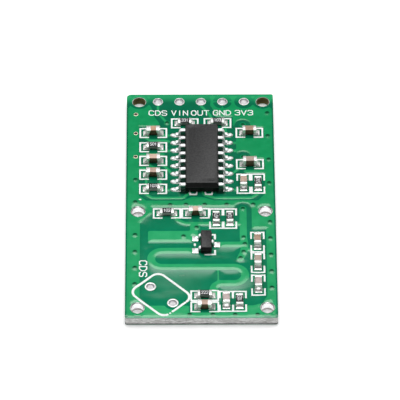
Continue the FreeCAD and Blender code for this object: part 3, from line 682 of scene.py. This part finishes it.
def mask_sheet(name, surface, holes, flip, replaced):
    """The solder mask as one closed relief sheet, with an opening for each of the holes."""
    grid = surface.grid
    index = np.arange(len(grid)).reshape(surface.rows, surface.columns)
    quads = cells(index)
    kept = np.ones(len(quads), bool)
    for x, y, radius in holes:
        offset = grid - (x, y)
        reach = np.linalg.norm(offset, axis=1)
        within = reach < radius
        kept &= ~within[quads].all(axis=1)
        pushed = offset / np.maximum(reach, 1e-6)[:, None] * radius + (x, y)
        grid = np.where(within[:, None], pushed, grid)
    grid, cut_off = rounded_to_board(grid)
    kept &= ~cut_off[quads].all(axis=1)
    quads = quads[kept]
    used = np.unique(quads)
    renumber = np.full(len(grid), -1)
    renumber[used] = np.arange(len(used))
    x, y = grid[used].T
    quads = renumber[quads]
    heights = surface.top(x, y)
    base = LAMINATE_TOP
    if flip:
        heights = np.maximum(COPPER_TOP - heights, 0.0)
        base = LAMINATE_LOW
        quads = quads[:, ::-1]
    mesh = bpy.data.meshes.new(name)
    mesh.from_pydata((np.column_stack([x, y, heights]) * MM).tolist(), [], quads.tolist())
    for label, values in (
        ("copper", surface.sample(surface.depth, x, y)),
        # Painted light gradient.
        ("painted_light_gradient", painted_light_gradient_at(x, y)),
        ("haze", mask_haze(x, y)),
        # Dark via bores and painted shade.
        ("dark_bore_and_painted_shade", surface.sample(surface.dark_bore_and_painted_shade, x, y)),
        # Painted highlight, also along the narrow signal tracks.
        ("painted_sheen", np.clip(mask_sheen(x, y) + 0.6 * surface.sample(surface.tracks, x, y), 0, 1)),
    ):
        mesh.attributes.new(label, "FLOAT", "POINT").data.foreach_set("value", values)
    body = bmesh.new()
    body.from_mesh(mesh)
    layer = body.verts.layers.float["copper"]
    rim = [edge for edge in body.edges if edge.is_boundary]
    made = bmesh.ops.extrude_edge_only(body, edges=rim)["geom"]
    for vertex in made:
        if isinstance(vertex, bmesh.types.BMVert):
            vertex.co.z = base * MM
            vertex[layer] = -1.0
    lower = [entry for entry in made if isinstance(entry, bmesh.types.BMEdge)]
    bmesh.ops.triangle_fill(body, edges=lower, use_beauty=False)
    finish_mesh(mesh, body, [MASK], replaced, 40)


# Places read from the frame

def box_mm(name):
    """Lowest and highest corner of a node's box."""
    low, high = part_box(name)
    return np.array(low) / MM, np.array(high) / MM


def chip_places(kind, count):
    """Name, middle and turn of each chip, from the box of its end caps."""
    places = []
    for index in range(1, count + 1):
        name = "%s_%02d" % (kind, index)
        low, high = box_mm(name + "_ends")
        x, y = (low + high)[:2] / 2
        wide, deep = (high - low)[:2]
        places.append((name, x, y, 0 if wide > deep else 90))
    return places


CAPACITORS = chip_places("capacitor", 12)
RESISTORS = chip_places("resistor", 10)
circuit_low, circuit_high = box_mm("circuit_body")
transistor_low, transistor_high = box_mm("transistor_body")
CIRCUIT = (circuit_low + circuit_high) / 2
TRANSISTOR = (transistor_low + transistor_high) / 2

# Place and turn of each lead
CIRCUIT_LEADS = [
    (CIRCUIT[0], CIRCUIT[1] + (index - 3.5) * 1.27, turn) for turn in (0, 180) for index in range(8)
]
TRANSISTOR_LEADS = [
    (TRANSISTOR[0], TRANSISTOR[1] + rise, turn) for rise, turn in ((0, 0), (0.95, 180), (-0.95, 180))
]

# How far the pattern of holes lies to the right of the board's middle
SHIFT = 0.12
PIN_STEP = 2.54
HEADER_ROW = LENGTH / 2 - 1.25
EDGE_HOLES = [(x, y) for x in (SHIFT - 7.35, SHIFT + 7.35) for y in (LOWER + 1.55, LOWER + 16.65)]
MOUNTING_HOLES = [(SHIFT - 7.3, HEADER_ROW), (SHIFT + 7.3, HEADER_ROW)]
HEADER_HOLES = [(SHIFT + (index - 2) * PIN_STEP, HEADER_ROW) for index in range(5)]
CELL_HOLES = [(-5.77, LOWER + 4.84), (-3.23, LOWER + 2.30)]

# Radius of the holes in the laminate, and whether the wall is bare
LAMINATE_WALLS = [(MOUNTING_HOLES, 0.77, 1), (EDGE_HOLES, 0.82, 0), (HEADER_HOLES + CELL_HOLES, 0.52, 0)]
# Radius of the openings in the mask
MASK_OPENINGS = [(EDGE_HOLES, 0.83), (MOUNTING_HOLES, 0.82), (HEADER_HOLES + CELL_HOLES, 0.55)]
# Bore radius, ring width and number of sides of the plated holes
EYELETS = [(EDGE_HOLES, 0.75, 0.10, 56), (HEADER_HOLES, 0.48, 0.13, 44), (CELL_HOLES, 0.45, 0.20, 44)]

OPEN_VIAS = [(-7.56, 14.6), (-7.56, 11.43), (-7.56, 7.59)]
OPEN_VIA_GAP = 0.24
COVERED_VIAS = (
    [(-7.56, y) for y in (3.83, 0.2, -5.03, -7.7, -10.19, -12.73)]
    + [(7.93, 14.77), (7.93, 10.97), (7.97, 7.1), (7.97, 3.23), (7.97, -3.03), (7.97, -5.6)]
    + [(8.0, -8.17), (8.02, -10.77), (8.02, -13.33)]
    + [(-3.53, -0.27), (-1.7, -0.23), (0.47, -0.23), (3.0, -0.23), (6.07, -0.23)]
    + [(-1.33, -17.43), (1.27, -17.43), (3.79, -17.47), (6.33, -17.5)]
    + [(-3.88, 13.17), (5.03, 12.83), (5.0, 7.5), (-0.47, -3.87), (-2.0, -5.27), (4.87, -0.87)]
    + [(4.9, -5.45), (5.03, -6.5), (4.87, -7.73), (4.5, -8.7)]
)


# Board edge, holes and vias

def board_loop(step):
    """Points round the board's outline, with its rounded corners."""
    radii = (CORNER, UPPER_LEFT_CORNER, CORNER, CORNER)
    loop = []
    for point, following in around(np.array(rounded_rectangle(WIDTH / 2, LENGTH / 2, radii, 5))):
        count = max(1, int(math.dist(point, following) / step))
        loop += [point + (following - point) * (part / count) for part in range(count)]
    return np.array(loop)


def make_laminate():
    """The laminate with a rough sawn edge, and brown walls in its two unplated holes."""
    rng = np.random.default_rng(11)
    roughness, bundle_depth, pit_depth, smooth_share = 0.030, 0.012, 0.035, 0.93
    loop = board_loop(0.14)
    at_side = np.abs(np.abs(loop) - (WIDTH / 2, LENGTH / 2)) < CORNER * 0.6
    inward = np.where(at_side, np.sign(-loop), 0.0)
    levels = np.linspace(LAMINATE_LOW, LAMINATE_TOP, 11)
    body = bmesh.new()
    rings = []
    for level, bundle in zip(levels, 0.5 + 0.5 * np.sin(np.arange(len(levels)) * 2.3)):
        rough = rng.uniform(0, 1, len(loop)) * roughness + bundle_depth * bundle
        pits = (rng.uniform(0, 1, len(loop)) > smooth_share) * pit_depth
        depth = rough * 0.25 if level in (levels[0], levels[-1]) else rough + pits
        rings.append(vertex_ring(body, [(x, y, level) for x, y in loop + inward * depth[:, None]]))
    skin(body, rings)
    sides = 36
    levels = np.linspace(LAMINATE_LOW, LAMINATE_TOP, 7)
    for places, radius, slot in LAMINATE_WALLS:
        for x, y in places:
            rings = []
            for level in levels:
                wander = rng.uniform(0, 0.02, sides) * (level not in (levels[0], levels[-1]))
                rings.append(vertex_ring(body, circle(x, y, radius + wander, level, sides)))
            skin(body, rings, slot, True)
    for level in (LAMINATE_LOW, LAMINATE_TOP):
        open_edges = [edge for edge in body.edges if edge.is_boundary]
        rim = [edge for edge in open_edges if abs(edge.verts[0].co.z / MM - level) < 1e-4]
        bmesh.ops.triangle_fill(body, edges=rim, use_beauty=False)
    mesh = bpy.data.meshes.new("board_laminate")
    finish_mesh(mesh, body, [LAMINATE, HOLE_WALL], ("laminate_core",), 32)


def eyelet_profile(radius, ring):
    """Section of a plated hole: domed rims at both faces and a wall that bells out to them."""
    outer = radius + ring
    return [
        (outer, 0.5), (outer, 0.05), (outer - 0.02, 0.012), (outer - ring * 0.5, 0.0),
        (radius + 0.05, 0.006), (radius + 0.014, 0.03), (radius, 0.08),
        (radius, 0.35), (radius, 0.6), (radius, 0.85),
        (radius, RIM_TOP - 0.09), (radius + 0.014, RIM_TOP - 0.035), (radius + 0.05, RIM_TOP - 0.008),
        (outer - ring * 0.5, RIM_TOP), (outer - 0.02, RIM_TOP - 0.014), (outer, RIM_TOP - 0.06),
        (outer, 0.7),
    ]


def reach_from(polygon, places):
    """How far a face's middle is from the nearest of several places."""
    x, y = polygon.center[0] / MM, polygon.center[1] / MM
    return min(math.dist((x, y), place) for place in places)


def make_holes():
    """The rims and walls of the plated holes. The walls of the edge holes have painted shade at the foot and
    on the faces turned to the sides; the smaller holes' walls are a darker copy of the plating, painted
    shade too.
    """
    rims = Shape()
    for places, radius, ring, sides in EYELETS:
        for x, y in places:
            rims.turned(x, y, eyelet_profile(radius, ring), sides, loop=True)
    materials = [TIN, PLATED_WALL, EDGE_WALL_PAINTED_SHADE, SMALL_WALL_PAINTED_SHADE]
    piece = make_piece("hole_plating", rims, materials, ("plated_holes",))
    for polygon in piece.data.polygons:
        height = polygon.center[2] / MM
        if 0.05 < height < 1.18 and abs(polygon.normal[2]) < 0.5:
            # Painted shade: the wall's foot and its faces turned to the sides take the dark copy.
            dull = height < 0.3 or abs(polygon.normal[0]) > 0.93
            wall = materials.index(EDGE_WALL_PAINTED_SHADE if dull else PLATED_WALL)
            wide = reach_from(polygon, EDGE_HOLES) < 1.0
            # Painted shade: the smaller holes' walls take the darker copy.
            polygon.material_index = wall if wide else materials.index(SMALL_WALL_PAINTED_SHADE)


def make_vias(top):
    """The metal rims of the three open vias, and their bores in painted shade: a dark wall that ends in a
    dark plug halfway down.
    """
    rims = Shape()
    for x, y in OPEN_VIAS:
        high = float(top.top(x, y)) + 0.012
        profile = [
            (0.26, high - 0.06), (0.255, high - 0.008), (0.23, high), (0.20, high - 0.004),
            # The bore ends halfway down in a plug, which with the dark material is painted shade in place of
            # the open hole.
            (0.178, high - 0.03), (0.172, high - 0.12), (0.165, 0.55), (0.02, 0.5),
        ]
        rims.turned(x, y, profile, 28)
    piece = make_piece("via_rims", rims, [VIA_RIM, VIA_BORE_PAINTED_SHADE])
    for polygon in piece.data.polygons:
        # Painted shade: the bore's wall and plug take the dark material.
        polygon.material_index = 1 if reach_from(polygon, OPEN_VIAS) < 0.19 else 0


# Printed lines

# How far beyond its end, and how wide there, a stroke's round end is drawn, as shares of half the width
ROUND_END = ((0.5, 0.84), (0.8, 0.5))


class Print:
    """White strokes that lie on a surface, whose height is given as a function of the place."""

    def __init__(self, height, seed, lift, step):
        self.height = height
        self.lift = lift
        self.step = step
        self.shape = Shape()
        self.rng = np.random.default_rng(seed)

    def stroke(self, points, width, round_ends=True):
        """One line of ink with mitred bends, whose width and height vary a little."""
        points = [np.array(point, float) for point in points]
        stations = []
        for start, end in zip(points, points[1:]):
            count = max(1, int(math.ceil(np.linalg.norm(end - start) / self.step)))
            stations += [start + (end - start) * index / count for index in range(count)]
        stations.append(points[-1])
        ways = [(end - start) / np.linalg.norm(end - start) for start, end in zip(stations, stations[1:])]
        half = width / 2
        wander = self.rng.uniform(-0.006, 0.006, len(stations))
        lift = self.lift + self.rng.uniform(-0.0015, 0.0015)
        sunk = -0.02
        profile = ((-1.0, sunk), (-0.9, lift), (0.0, lift + 0.002), (0.9, lift), (1.0, sunk))
        sections = []
        for point, arriving, leaving, wide in zip(stations, ways[:1] + ways, ways + ways[-1:], wander):
            mean = arriving + leaving
            mean /= max(np.linalg.norm(mean), 1e-6)
            stretch = 1 / max(abs(float(mean @ arriving)), 0.5)
            sections.append((point, left_of(mean) * ((half + wide) * stretch)))
        if round_ends:
            for back, narrow in ROUND_END:
                first = (stations[0] - ways[0] * half * back, left_of(ways[0]) * half * narrow)
                last = (stations[-1] + ways[-1] * half * back, left_of(ways[-1]) * half * narrow)
                sections = [first] + sections + [last]
        rings = []
        for point, side in sections:
            places = [point + side * share for share, rise in profile]
            heights = [float(self.height(x, y)) + rise for (x, y), (share, rise) in zip(places, profile)]
            rings.append([(x, y, z) for (x, y), z in zip(places, heights)])
        self.shape.rings(rings)


ROUND = [(.28, 0), (.72, 0), (1, .25), (1, .75), (.72, 1), (.28, 1), (0, .75), (0, .25), (.28, 0)]
GLYPHS = {
    "C": [[(1, .80), (.8, 1), (.25, 1), (0, .78), (0, .22), (.25, 0), (.8, 0), (1, .20)]],
    "D": [[(0, 0), (0, 1), (.6, 1), (1, .7), (1, .3), (.6, 0), (0, 0)]],
    "S": [[(1, .86), (.8, 1), (.2, 1), (0, .86), (0, .66), (.2, .53), (.8, .47), (1, .34), (1, .14), (.8, 0),
           (.2, 0), (0, .14)]],
    "V": [[(0, 1), (.5, 0), (1, 1)]],
    "I": [[(.5, 0), (.5, 1)]],
    "N": [[(0, 0), (0, 1), (1, 0), (1, 1)]],
    "O": [ROUND],
    "U": [[(0, 1), (0, .22), (.24, 0), (.76, 0), (1, .22), (1, 1)]],
    "T": [[(0, 1), (1, 1)], [(.5, 1), (.5, 0)]],
    "G": [[(1, .82), (.8, 1), (.25, 1), (0, .78), (0, .22), (.25, 0), (.8, 0), (1, .2), (1, .48),
           (.6, .48)]],
    "0": [ROUND],
    "1": [[(.2, .8), (.55, 1), (.55, 0)]],
    "2": [[(0, .8), (.22, 1), (.78, 1), (1, .8), (1, .6), (0, 0), (1, 0)]],
    "3": [[(0, .86), (.2, 1), (.8, 1), (1, .86), (1, .66), (.8, .53), (.45, .53)],
          [(.8, .53), (1, .38), (1, .15), (.8, 0), (.2, 0), (0, .14)]],
    "4": [[(.75, 0), (.75, 1), (0, .3), (1, .3)]],
    "5": [[(1, 1), (.1, 1), (.05, .55), (.75, .58), (1, .42), (1, .16), (.78, 0), (.2, 0), (0, .14)]],
    "7": [[(0, 1), (1, 1), (.4, 0)]],
}
LETTER_GAP = 0.36


def write_word(ink, word, x0, x1, y0, y1, width, origin=(0, 0), turn=0):
    """A word between two edges. With a turn it is written along X first and then turned about its origin."""
    cell = (x1 - x0 - width) / (len(word) + LETTER_GAP * (len(word) - 1))
    for index, letter in enumerate(word):
        left = x0 + width / 2 + index * cell * (1 + LETTER_GAP)
        for line in GLYPHS[letter]:
            points = [(left + px * cell, y0 + width / 2 + py * (y1 - y0 - width)) for px, py in line]
            ink.stroke(moved(points, *origin, turn), width)


BRACKET_LINE = 0.21
BRACKET_LENGTH = 3.27
BRACKET_WIDTH = 1.66
BRACKET_GAP = 1.0


def bracket_pair(x, y, turn):
    """The middle lines of two printed brackets that face each other round a chip."""
    half, side = (BRACKET_LENGTH - BRACKET_LINE) / 2, (BRACKET_WIDTH - BRACKET_LINE) / 2
    pair = []
    for sign in (-1, 1):
        near, far = sign * BRACKET_GAP / 2, sign * half
        pair.append(moved([(near, side), (far, side), (far, -side), (near, -side)], x, y, turn))
    return pair


def print_brackets(ink):
    """A pair of brackets round every chip, and one thick line where two brackets nearly touch."""
    lines = []
    nearest, farthest, shared = 0.02, 0.42, 0.3
    for number, (name, x, y, turn) in enumerate(CAPACITORS + RESISTORS):
        for points in bracket_pair(x, y, turn):
            ink.stroke(points, BRACKET_LINE, False)
            for start, end in zip(points, points[1:]):
                across = 0 if abs(start[0] - end[0]) < 1e-6 else 1
                lines.append((number, across, start[across], *sorted((start[1 - across], end[1 - across]))))
    for index, (number, across, place, low, high) in enumerate(lines):
        for other, far_across, far_place, far_low, far_high in lines[index + 1:]:
            apart = abs(far_place - place)
            start, end = max(low, far_low), min(high, far_high)
            if other == number or across != far_across:
                continue
            if not nearest < apart < farthest or end - start < shared:
                continue
            middle = (place + far_place) / 2
            points = [(start, middle), (end, middle)] if across else [(middle, start), (middle, end)]
            ink.stroke(points, apart + BRACKET_LINE, False)


def make_print(top):
    """Brackets, words, the marks of the circuit and the transistor, and the light cell's outline."""
    ink = Print(top.top, 5, 0.017, 0.14)
    print_brackets(ink)
    row_low, row_high = 14.38, 15.27
    for word, x0, x1 in (
        ("CDS", -6.07, -3.87), ("VIN", -3.4, -1.4), ("OUT", -1.07, 1.1),
        ("GND", 1.52, 3.67), ("3V3", 4.08, 6.27),
    ):
        write_word(ink, word, x0, x1, row_low, row_high, 0.125)
    write_word(ink, "CDS", 0, 2.6, 0, 0.97, 0.15, (-7.1, -9.0), -90)
    foot = circuit_low[1] - 0.26
    top_end = foot + 0.36
    for x in (CIRCUIT[0] - 1.02, CIRCUIT[0] + 0.78):
        ink.stroke([(x - 0.41, top_end), (x - 0.34, foot), (x + 0.34, foot), (x + 0.41, top_end)], 0.24)
    x, y = TRANSISTOR[:2]
    ink.stroke([(x + 0.6, y + 1.58), (x + 1.0, y + 1.58), (x + 1.0, y + 0.85)], 0.24, False)
    ink.stroke([(x + 1.0, y - 0.8), (x + 1.0, y - 1.5), (x - 0.2, y - 1.5)], 0.24, False)
    ink.stroke([(x - 1.3, y + 0.12), (x - 1.3, y - 0.08)], 0.26)
    ink.stroke([(-7.04, 0.6), (-6.96, 0.6)], 0.24)
    outline = moved(rounded_rectangle(2.8, 2.315, [1.0] * 4, 9), -4.56, -14.33, -45)
    ink.stroke(outline[:-2], 0.3)
    ink.stroke([(-1.84, -15.57), (-3.24, -16.97)], 0.3)
    ink.stroke([(-3.50, -17.22), (-3.56, -17.27)], 0.2)
    make_piece("printed_lines", ink.shape, [INK], ("silkscreen",), 50)


# Chips and their solder

# Half the length and half the width of a chip
CHIP_END = 0.80
CHIP_SIDE = 0.40
# Which capacitor, counted from 0, stands taller than its neighbours, and by how much
TALLER_CAPACITOR = 4
TALLER_BY = 0.14
CAPACITOR_TONES = (
    "amber", "peach", "sand", "tan", "taupe", "sand", "peach", "tan", "taupe", "pink", "pink", "sand",
)
# Half the length of the ceramic that shows between a capacitor's caps
CERAMIC_REACH = (0.30, 0.40, 0.36, 0.45, 0.44, 0.45, 0.31, 0.42, 0.40, 0.44, 0.42, 0.31)
RESISTOR_CODES = ("501", "103", "331", "103", "510", "102", "471", "104", "222", "103")


def block_mesh(x0, x1, y0, y1, z0, z1, bevel, segments):
    """Points and faces of a box whose edges and corners are rounded."""
    body = bmesh.new()
    bmesh.ops.create_cube(body, size=1.0)
    for vertex in body.verts:
        vertex.co.x = x1 if vertex.co.x > 0 else x0
        vertex.co.y = y1 if vertex.co.y > 0 else y0
        vertex.co.z = z1 if vertex.co.z > 0 else z0
    bmesh.ops.bevel(
        body, geom=list(body.edges), offset=bevel, segments=segments, affect="EDGES", profile=0.5
    )
    body.verts.index_update()
    points = [tuple(vertex.co) for vertex in body.verts]
    faces = [tuple(vertex.index for vertex in face.verts) for face in body.faces]
    body.free()
    return points, faces


def add_block(shape, place, spans, bevel, segments, slot=0):
    """A rounded box in a shape, turned and shifted to its place."""
    points, faces = block_mesh(*spans, bevel, segments)
    shape.add(moved(points, *place), faces, slot)


def make_caps(name, x, y, skew, rng, inner, top, bevel, bare=None):
    """A chip's two end caps. Where a half length of bare ceramic is given, they reach to it on top."""
    ends = Shape()
    for turn in (180, 0):
        reach = inner + rng.uniform(-0.02, 0.02)
        points, faces = block_mesh(reach, CHIP_END, -CHIP_SIDE, CHIP_SIDE, SEAT, top, bevel, 3)
        if bare:
            lip = reach - bare + rng.uniform(-0.02, 0.02)
            points = [(px - lip if px < 0.6 and pz > top - 0.1 else px, py, pz) for px, py, pz in points]
        ends.add(moved(points, x, y, skew + turn), faces)
    make_piece(name + "_caps", ends, [END_METAL], (name + "_ends",))


def make_chips():
    """Capacitors, resistors and the codes on the resistors."""
    rng = np.random.default_rng(21)
    for index, (name, x, y, turn) in enumerate(CAPACITORS):
        skew = turn + rng.uniform(-1.2, 1.2)
        top = box_mm(name + "_ends")[1][2] + (TALLER_BY if index == TALLER_CAPACITOR else 0.0)
        body = Shape()
        add_block(body, (x, y, skew), (-0.765, 0.765, -0.372, 0.372, SEAT + 0.02, top - 0.022), 0.045, 3)
        materials = [CERAMICS[CAPACITOR_TONES[index]], CERAMIC_PAINTED_SHADE_SIDE]
        piece = make_piece(name + "_ceramic", body, materials, (name + "_body",))
        for polygon in piece.data.polygons:
            # Painted shade: faces that don't face up take the dark copy.
            polygon.material_index = 1 if polygon.normal[2] < 0.6 else 0
        make_caps(name, x, y, skew, rng, 0.47, top, 0.06, CERAMIC_REACH[index])
    for name, x, y, turn in RESISTORS:
        skew = turn + rng.uniform(-1.0, 1.0)
        slab = Shape()
        add_block(slab, (x, y, skew), (-0.78, 0.78, -0.392, 0.392, SEAT + 0.02, SEAT + 0.42), 0.02, 2)
        add_block(slab, (x, y, skew), (-0.50, 0.50, -0.385, 0.385, SEAT + 0.395, RESISTOR_TOP), 0.03, 2, 1)
        make_piece(name + "_slab", slab, [CERAMIC_WHITE, COAT], (name + "_body",))
        make_caps(name, x, y, skew, rng, 0.49, SEAT + 0.455, 0.045)
    codes = Print(lambda x, y: RESISTOR_TOP, 9, 0.004, 0.2)
    for code, (name, x, y, turn) in zip(RESISTOR_CODES, RESISTORS):
        write_word(codes, code, -0.41, 0.41, -0.25, 0.25, 0.062, (x, y), turn)
    make_piece("resistor_codes", codes.shape, [CODE_INK], angle=50)


def solder_patch(shape, place, x0, x1, half, height, columns=13, rows=10, oval=False, slot=0):
    """A tinned pad whose solder follows height(px, py), with a rounded edge."""
    upper, lower = [], []
    for a in np.linspace(0, 1, columns):
        px = x0 + (x1 - x0) * a
        squeeze = 1 - 0.10 * max(0.0, a * 2 - 1) ** 4 - 0.06 * max(0.0, 1 - 4 * a) ** 3
        foot = 0.98
        if oval:
            squeeze = foot = math.sqrt(1 - 0.9 * max(0.0, (a - 0.62) / 0.38) ** 2)
        for b in np.linspace(-1, 1, rows):
            py = half * b * squeeze
            fall = max(0.0, 1 - abs(b) ** 5) * (1 - a ** 12)
            upper.append((px, py, PAD_SKIN + 0.02 * fall ** 0.5 + height(px, py) * fall))
            lower.append((px, half * b * foot, PAD_FOOT))
    size = rows * columns
    grid = np.arange(size).reshape(columns, rows)
    edge = [*grid[:, 0], *grid[-1, 1:], *grid[-2::-1, -1], *grid[0, -2:0:-1]]
    walls = [(corner, corner + size, following + size, following) for corner, following in around(edge)]
    faces = np.concatenate([cells(grid.T), cells(grid) + size, walls]).tolist()
    shape.add(moved(upper + lower, *place), faces, slot)


def make_solder():
    """The solder at the ends of the chips and at the leads, each joint a little different."""
    rng = np.random.default_rng(33)
    joints = Shape()
    chips = [(entry, 0.80) for entry in CAPACITORS] + [(entry, 0.45) for entry in RESISTORS]
    film, wetted, run = 0.012, 0.79, 0.41
    for (name, x, y, turn), tall in chips:
        for side in (0, 180):
            climb = tall * rng.uniform(0.42, 0.62)
            power = rng.uniform(1.7, 2.5)

            def at_chip(px, py):
                if px <= wetted:
                    return film
                return film + climb * max(0.0, 1 - (px - wetted) / run) ** power

            outer = 1.2 + rng.uniform(-0.02, 0.0)
            solder_patch(joints, (x, y, turn + side), 0.45, outer, 0.43, at_chip)
    heel, toe, swell, leg_toe = 2.64, 3.03, 3.38, 1.2
    for place in CIRCUIT_LEADS:
        climb = rng.uniform(0.10, 0.14)

        def at_lead(px, py):
            beside = max(0.0, 1 - max(0.0, abs(py) - 0.2) / 0.1) ** 1.5
            if px < toe:
                return 0.01 + 0.07 * beside * min(1.0, max(0.0, (px - heel) / 0.12))
            return 0.01 + climb * max(0.0, 1 - ((px - swell) / 0.36) ** 2) * (0.6 + 0.4 * beside)

        solder_patch(joints, place, 2.5, 3.67, 0.30, at_lead, 18, 12, True, 1)

    def at_leg(px, py):
        beside = max(0.0, 1 - max(0.0, abs(py) - 0.2) / 0.18) ** 1.5
        if px < leg_toe:
            return 0.01 + 0.07 * beside
        return 0.01 + 0.11 * max(0.0, 1 - (px - leg_toe) / 0.4) ** 1.8 * (0.4 + 0.6 * beside)

    for place in TRANSISTOR_LEADS:
        solder_patch(joints, place, 0.9, 1.6, 0.40, at_leg, 12, 12, False, 1)
    # Slot 1 is the brighter copy of the solder, painted light.
    make_piece("solder_fillets", joints, [SOLDER, FOOT_SOLDER_PAINTED_LIGHT], ("solder_joints",))


# Moulded packages and their leads

def moulded(name, low, high, draft, dimples, replaced):
    """A moulded body that narrows above and below its parting line, with round dimples in its top.

    A dimple is given by its place from the middle, its radius and its depth.
    """
    half_x, half_y = (high - low)[:2] / 2
    middle_x, middle_y, split = (low + high) / 2
    levels = [
        (draft * 0.6 + 0.04, low[2]), (draft * 0.6, low[2] + 0.04),
        (0.012, split - 0.035), (0.0, split - 0.02), (0.0, split + 0.02), (0.012, split + 0.035),
        (draft * 0.93, high[2] - 0.06), (draft + 0.012, high[2] - 0.018), (draft + 0.055, high[2]),
    ]
    corner, sides, deepest = 0.05, 28, 0.055
    body = bmesh.new()
    rings = []
    for shrink, z in levels:
        outline = rounded_rectangle(half_x - shrink, half_y - shrink, [corner] * 4, 4)
        rings.append(vertex_ring(body, [(x + middle_x, y + middle_y, z) for x, y in outline]))
    skin(body, rings)
    body.faces.new(rings[0][::-1])
    rims = rings[-1:]
    for x, y, radius, depth in dimples:
        stack = []
        for share, drop in ((1.0, 0.0), (0.93, 0.18), (0.80, 0.6), (0.62, 0.9), (0.3, 1.0)):
            level = high[2] - depth * drop
            stack.append(vertex_ring(body, circle(middle_x + x, middle_y + y, radius * share, level, sides)))
        skin(body, stack)
        body.faces.new(stack[-1])
        rims.append(stack[0])
    if dimples:
        edges = [body.edges.get(pair) for rim in rims for pair in around(rim)]
        bmesh.ops.triangle_fill(body, edges=edges, use_beauty=True)
    else:
        body.faces.new(rings[-1])
    mesh = bpy.data.meshes.new(name)
    finish_mesh(mesh, body, [MOULDING, MOULDING_PAINTED_SHADE_SIDE], replaced, 28)
    # Painted shade: side faces below the top take the darker copy.
    for polygon in mesh.polygons:
        outside = abs(polygon.center[2] / MM - high[2]) > deepest
        polygon.material_index = 1 if outside and polygon.normal[2] < 0.6 else 0


def rounded_path(points, radius):
    """A line whose bends are rounded."""
    points = [np.array(point, float) for point in points]
    path = points[:1]
    for before, point, after in zip(points, points[1:], points[2:]):
        first, second = np.linalg.norm(point - before), np.linalg.norm(after - point)
        arriving, leaving = (point - before) / first, (after - point) / second
        turn = math.acos(float(np.clip(arriving @ leaving, -1, 1)))
        reach = min(radius * math.tan(turn / 2), first * 0.48, second * 0.48)
        start, end = point - arriving * reach, point + leaving * reach
        for share in np.linspace(0, 1, 5):
            path.append((1 - share) ** 2 * start + 2 * share * (1 - share) * point + share ** 2 * end)
    return path + points[-1:]


def add_lead(shape, place, points, thickness, width, radius):
    """One bent lead of a flat bar with rounded edges, a little thinner at both ends."""
    path = rounded_path(points, radius)
    half, side, round_off = thickness / 2, width / 2, thickness * 0.16
    outline = [
        (side - round_off, half), (side, half - round_off),
        (side, round_off - half), (side - round_off, -half),
        (round_off - side, -half), (-side, round_off - half),
        (-side, half - round_off), (round_off - side, half),
    ]
    rings = []
    for index, point in enumerate(path):
        along = path[min(index + 1, len(path) - 1)] - path[max(index - 1, 0)]
        normal = left_of(along / np.linalg.norm(along))
        taper = 1.0 if 0 < index < len(path) - 1 else 0.94
        rings.append([
            (point[0] + normal[0] * up * taper, across * taper, point[1] + normal[1] * up * taper)
            for across, up in outline
        ])
    shape.rings([moved(ring, *place) for ring in rings])


def make_leads(name, places, exit_z, stops, thickness, width, radius):
    """All the leads of a package, each with two bends down to its solder joint.

    The stops are its distances from the package's middle where it starts, bends twice and ends.
    """
    leads = Shape()
    foot_z = SEAT + thickness / 2
    for place in places:
        points = list(zip(stops, (exit_z, exit_z, foot_z, foot_z)))
        add_lead(leads, place, points, thickness, width, radius)
    make_piece(name + "_lead_frame", leads, [LEAD_METAL], (name + "_leads",), 42)


def make_packages():
    """The circuit with two dimples in its top, the transistor, and the leads of both."""
    corner_x, corner_y = (circuit_high - circuit_low)[:2] / 2 - 0.75
    dimples = [(-corner_x, corner_y, 0.35, 0.05), (corner_x, -corner_y, 0.35, 0.04)]
    moulded("circuit_moulding", circuit_low, circuit_high, 0.15, dimples, ("circuit_body",))
    moulded("transistor_moulding", transistor_low, transistor_high, 0.10, [], ("transistor_body",))
    make_leads(
        "circuit", CIRCUIT_LEADS, CIRCUIT[2], stops=(1.90, 2.48, 2.70, 3.02),
        thickness=0.2, width=0.46, radius=0.17,
    )
    make_leads(
        "transistor", TRANSISTOR_LEADS, TRANSISTOR[2], stops=(0.60, 0.79, 0.92, 1.2),
        thickness=0.13, width=0.42, radius=0.11,
    )


def make_option_pads():
    """The six bare pads on the underside."""
    pads = Shape()
    low, high = box_mm("option_pads")
    for column in (-1.5, 0, 1.5):
        for side in (-0.95, 0.95):
            x = SHIFT + column * PIN_STEP + side
            add_block(pads, (0, 0, 0), (x - 0.45, x + 0.45, low[1], high[1], 0.008, 0.11), 0.03, 3)
    make_piece("underside_pads", pads, [SOLDER], ("option_pads",))


def make_sheets():
    """The mask on both faces. The relief of the upper one is returned, for what lies on it."""
    coarse, fine = 0.18, 0.09
    step = fine
    names = ("ground_pour", "antenna_track", "feed_strips", "signal_tracks")
    top = Surface(names, COPPER_TOP, step, 0.09)
    top.widen_pour()
    top.add_vias()
    # A painted highlight along the narrow signal tracks.
    narrow = inside(top.grid, border("signal_tracks", COPPER_TOP)).reshape(top.rows, top.columns)
    top.tracks = softened(narrow.astype(float), step, 0.05)
    drilled = [(x, y, radius) for places, radius in MASK_OPENINGS for x, y in places]
    openings = drilled + [(x, y, OPEN_VIA_GAP) for x, y in OPEN_VIAS]
    mask_sheet("mask_sheet_top", top, openings, False, ("top_solder_mask",) + names)
    below = Surface(("bottom_ground_plane",), 0.0, coarse, 0.1)
    mask_sheet("mask_sheet_under", below, drilled, True, ("bottom_ground_plane",))
    return top


def make_floor():
    """A wide plane just under the board, with a material of its own."""
    mesh = bpy.data.meshes.new("floor")
    mesh.from_pydata([(-3, -3, 0), (3, -3, 0), (3, 3, 0), (-3, 3, 0)], [], [(0, 1, 2, 3)])
    mesh.materials.append(floor_material())
    floor = add_object("floor", mesh)
    floor.location.z = -0.02 * MM


relief = make_sheets()
make_laminate()
make_holes()
make_vias(relief)
make_print(relief)
make_chips()
make_solder()
make_packages()
make_option_pads()
make_camera()
make_light()
make_floor()
bpy.context.scene.view_settings.view_transform = "Standard"
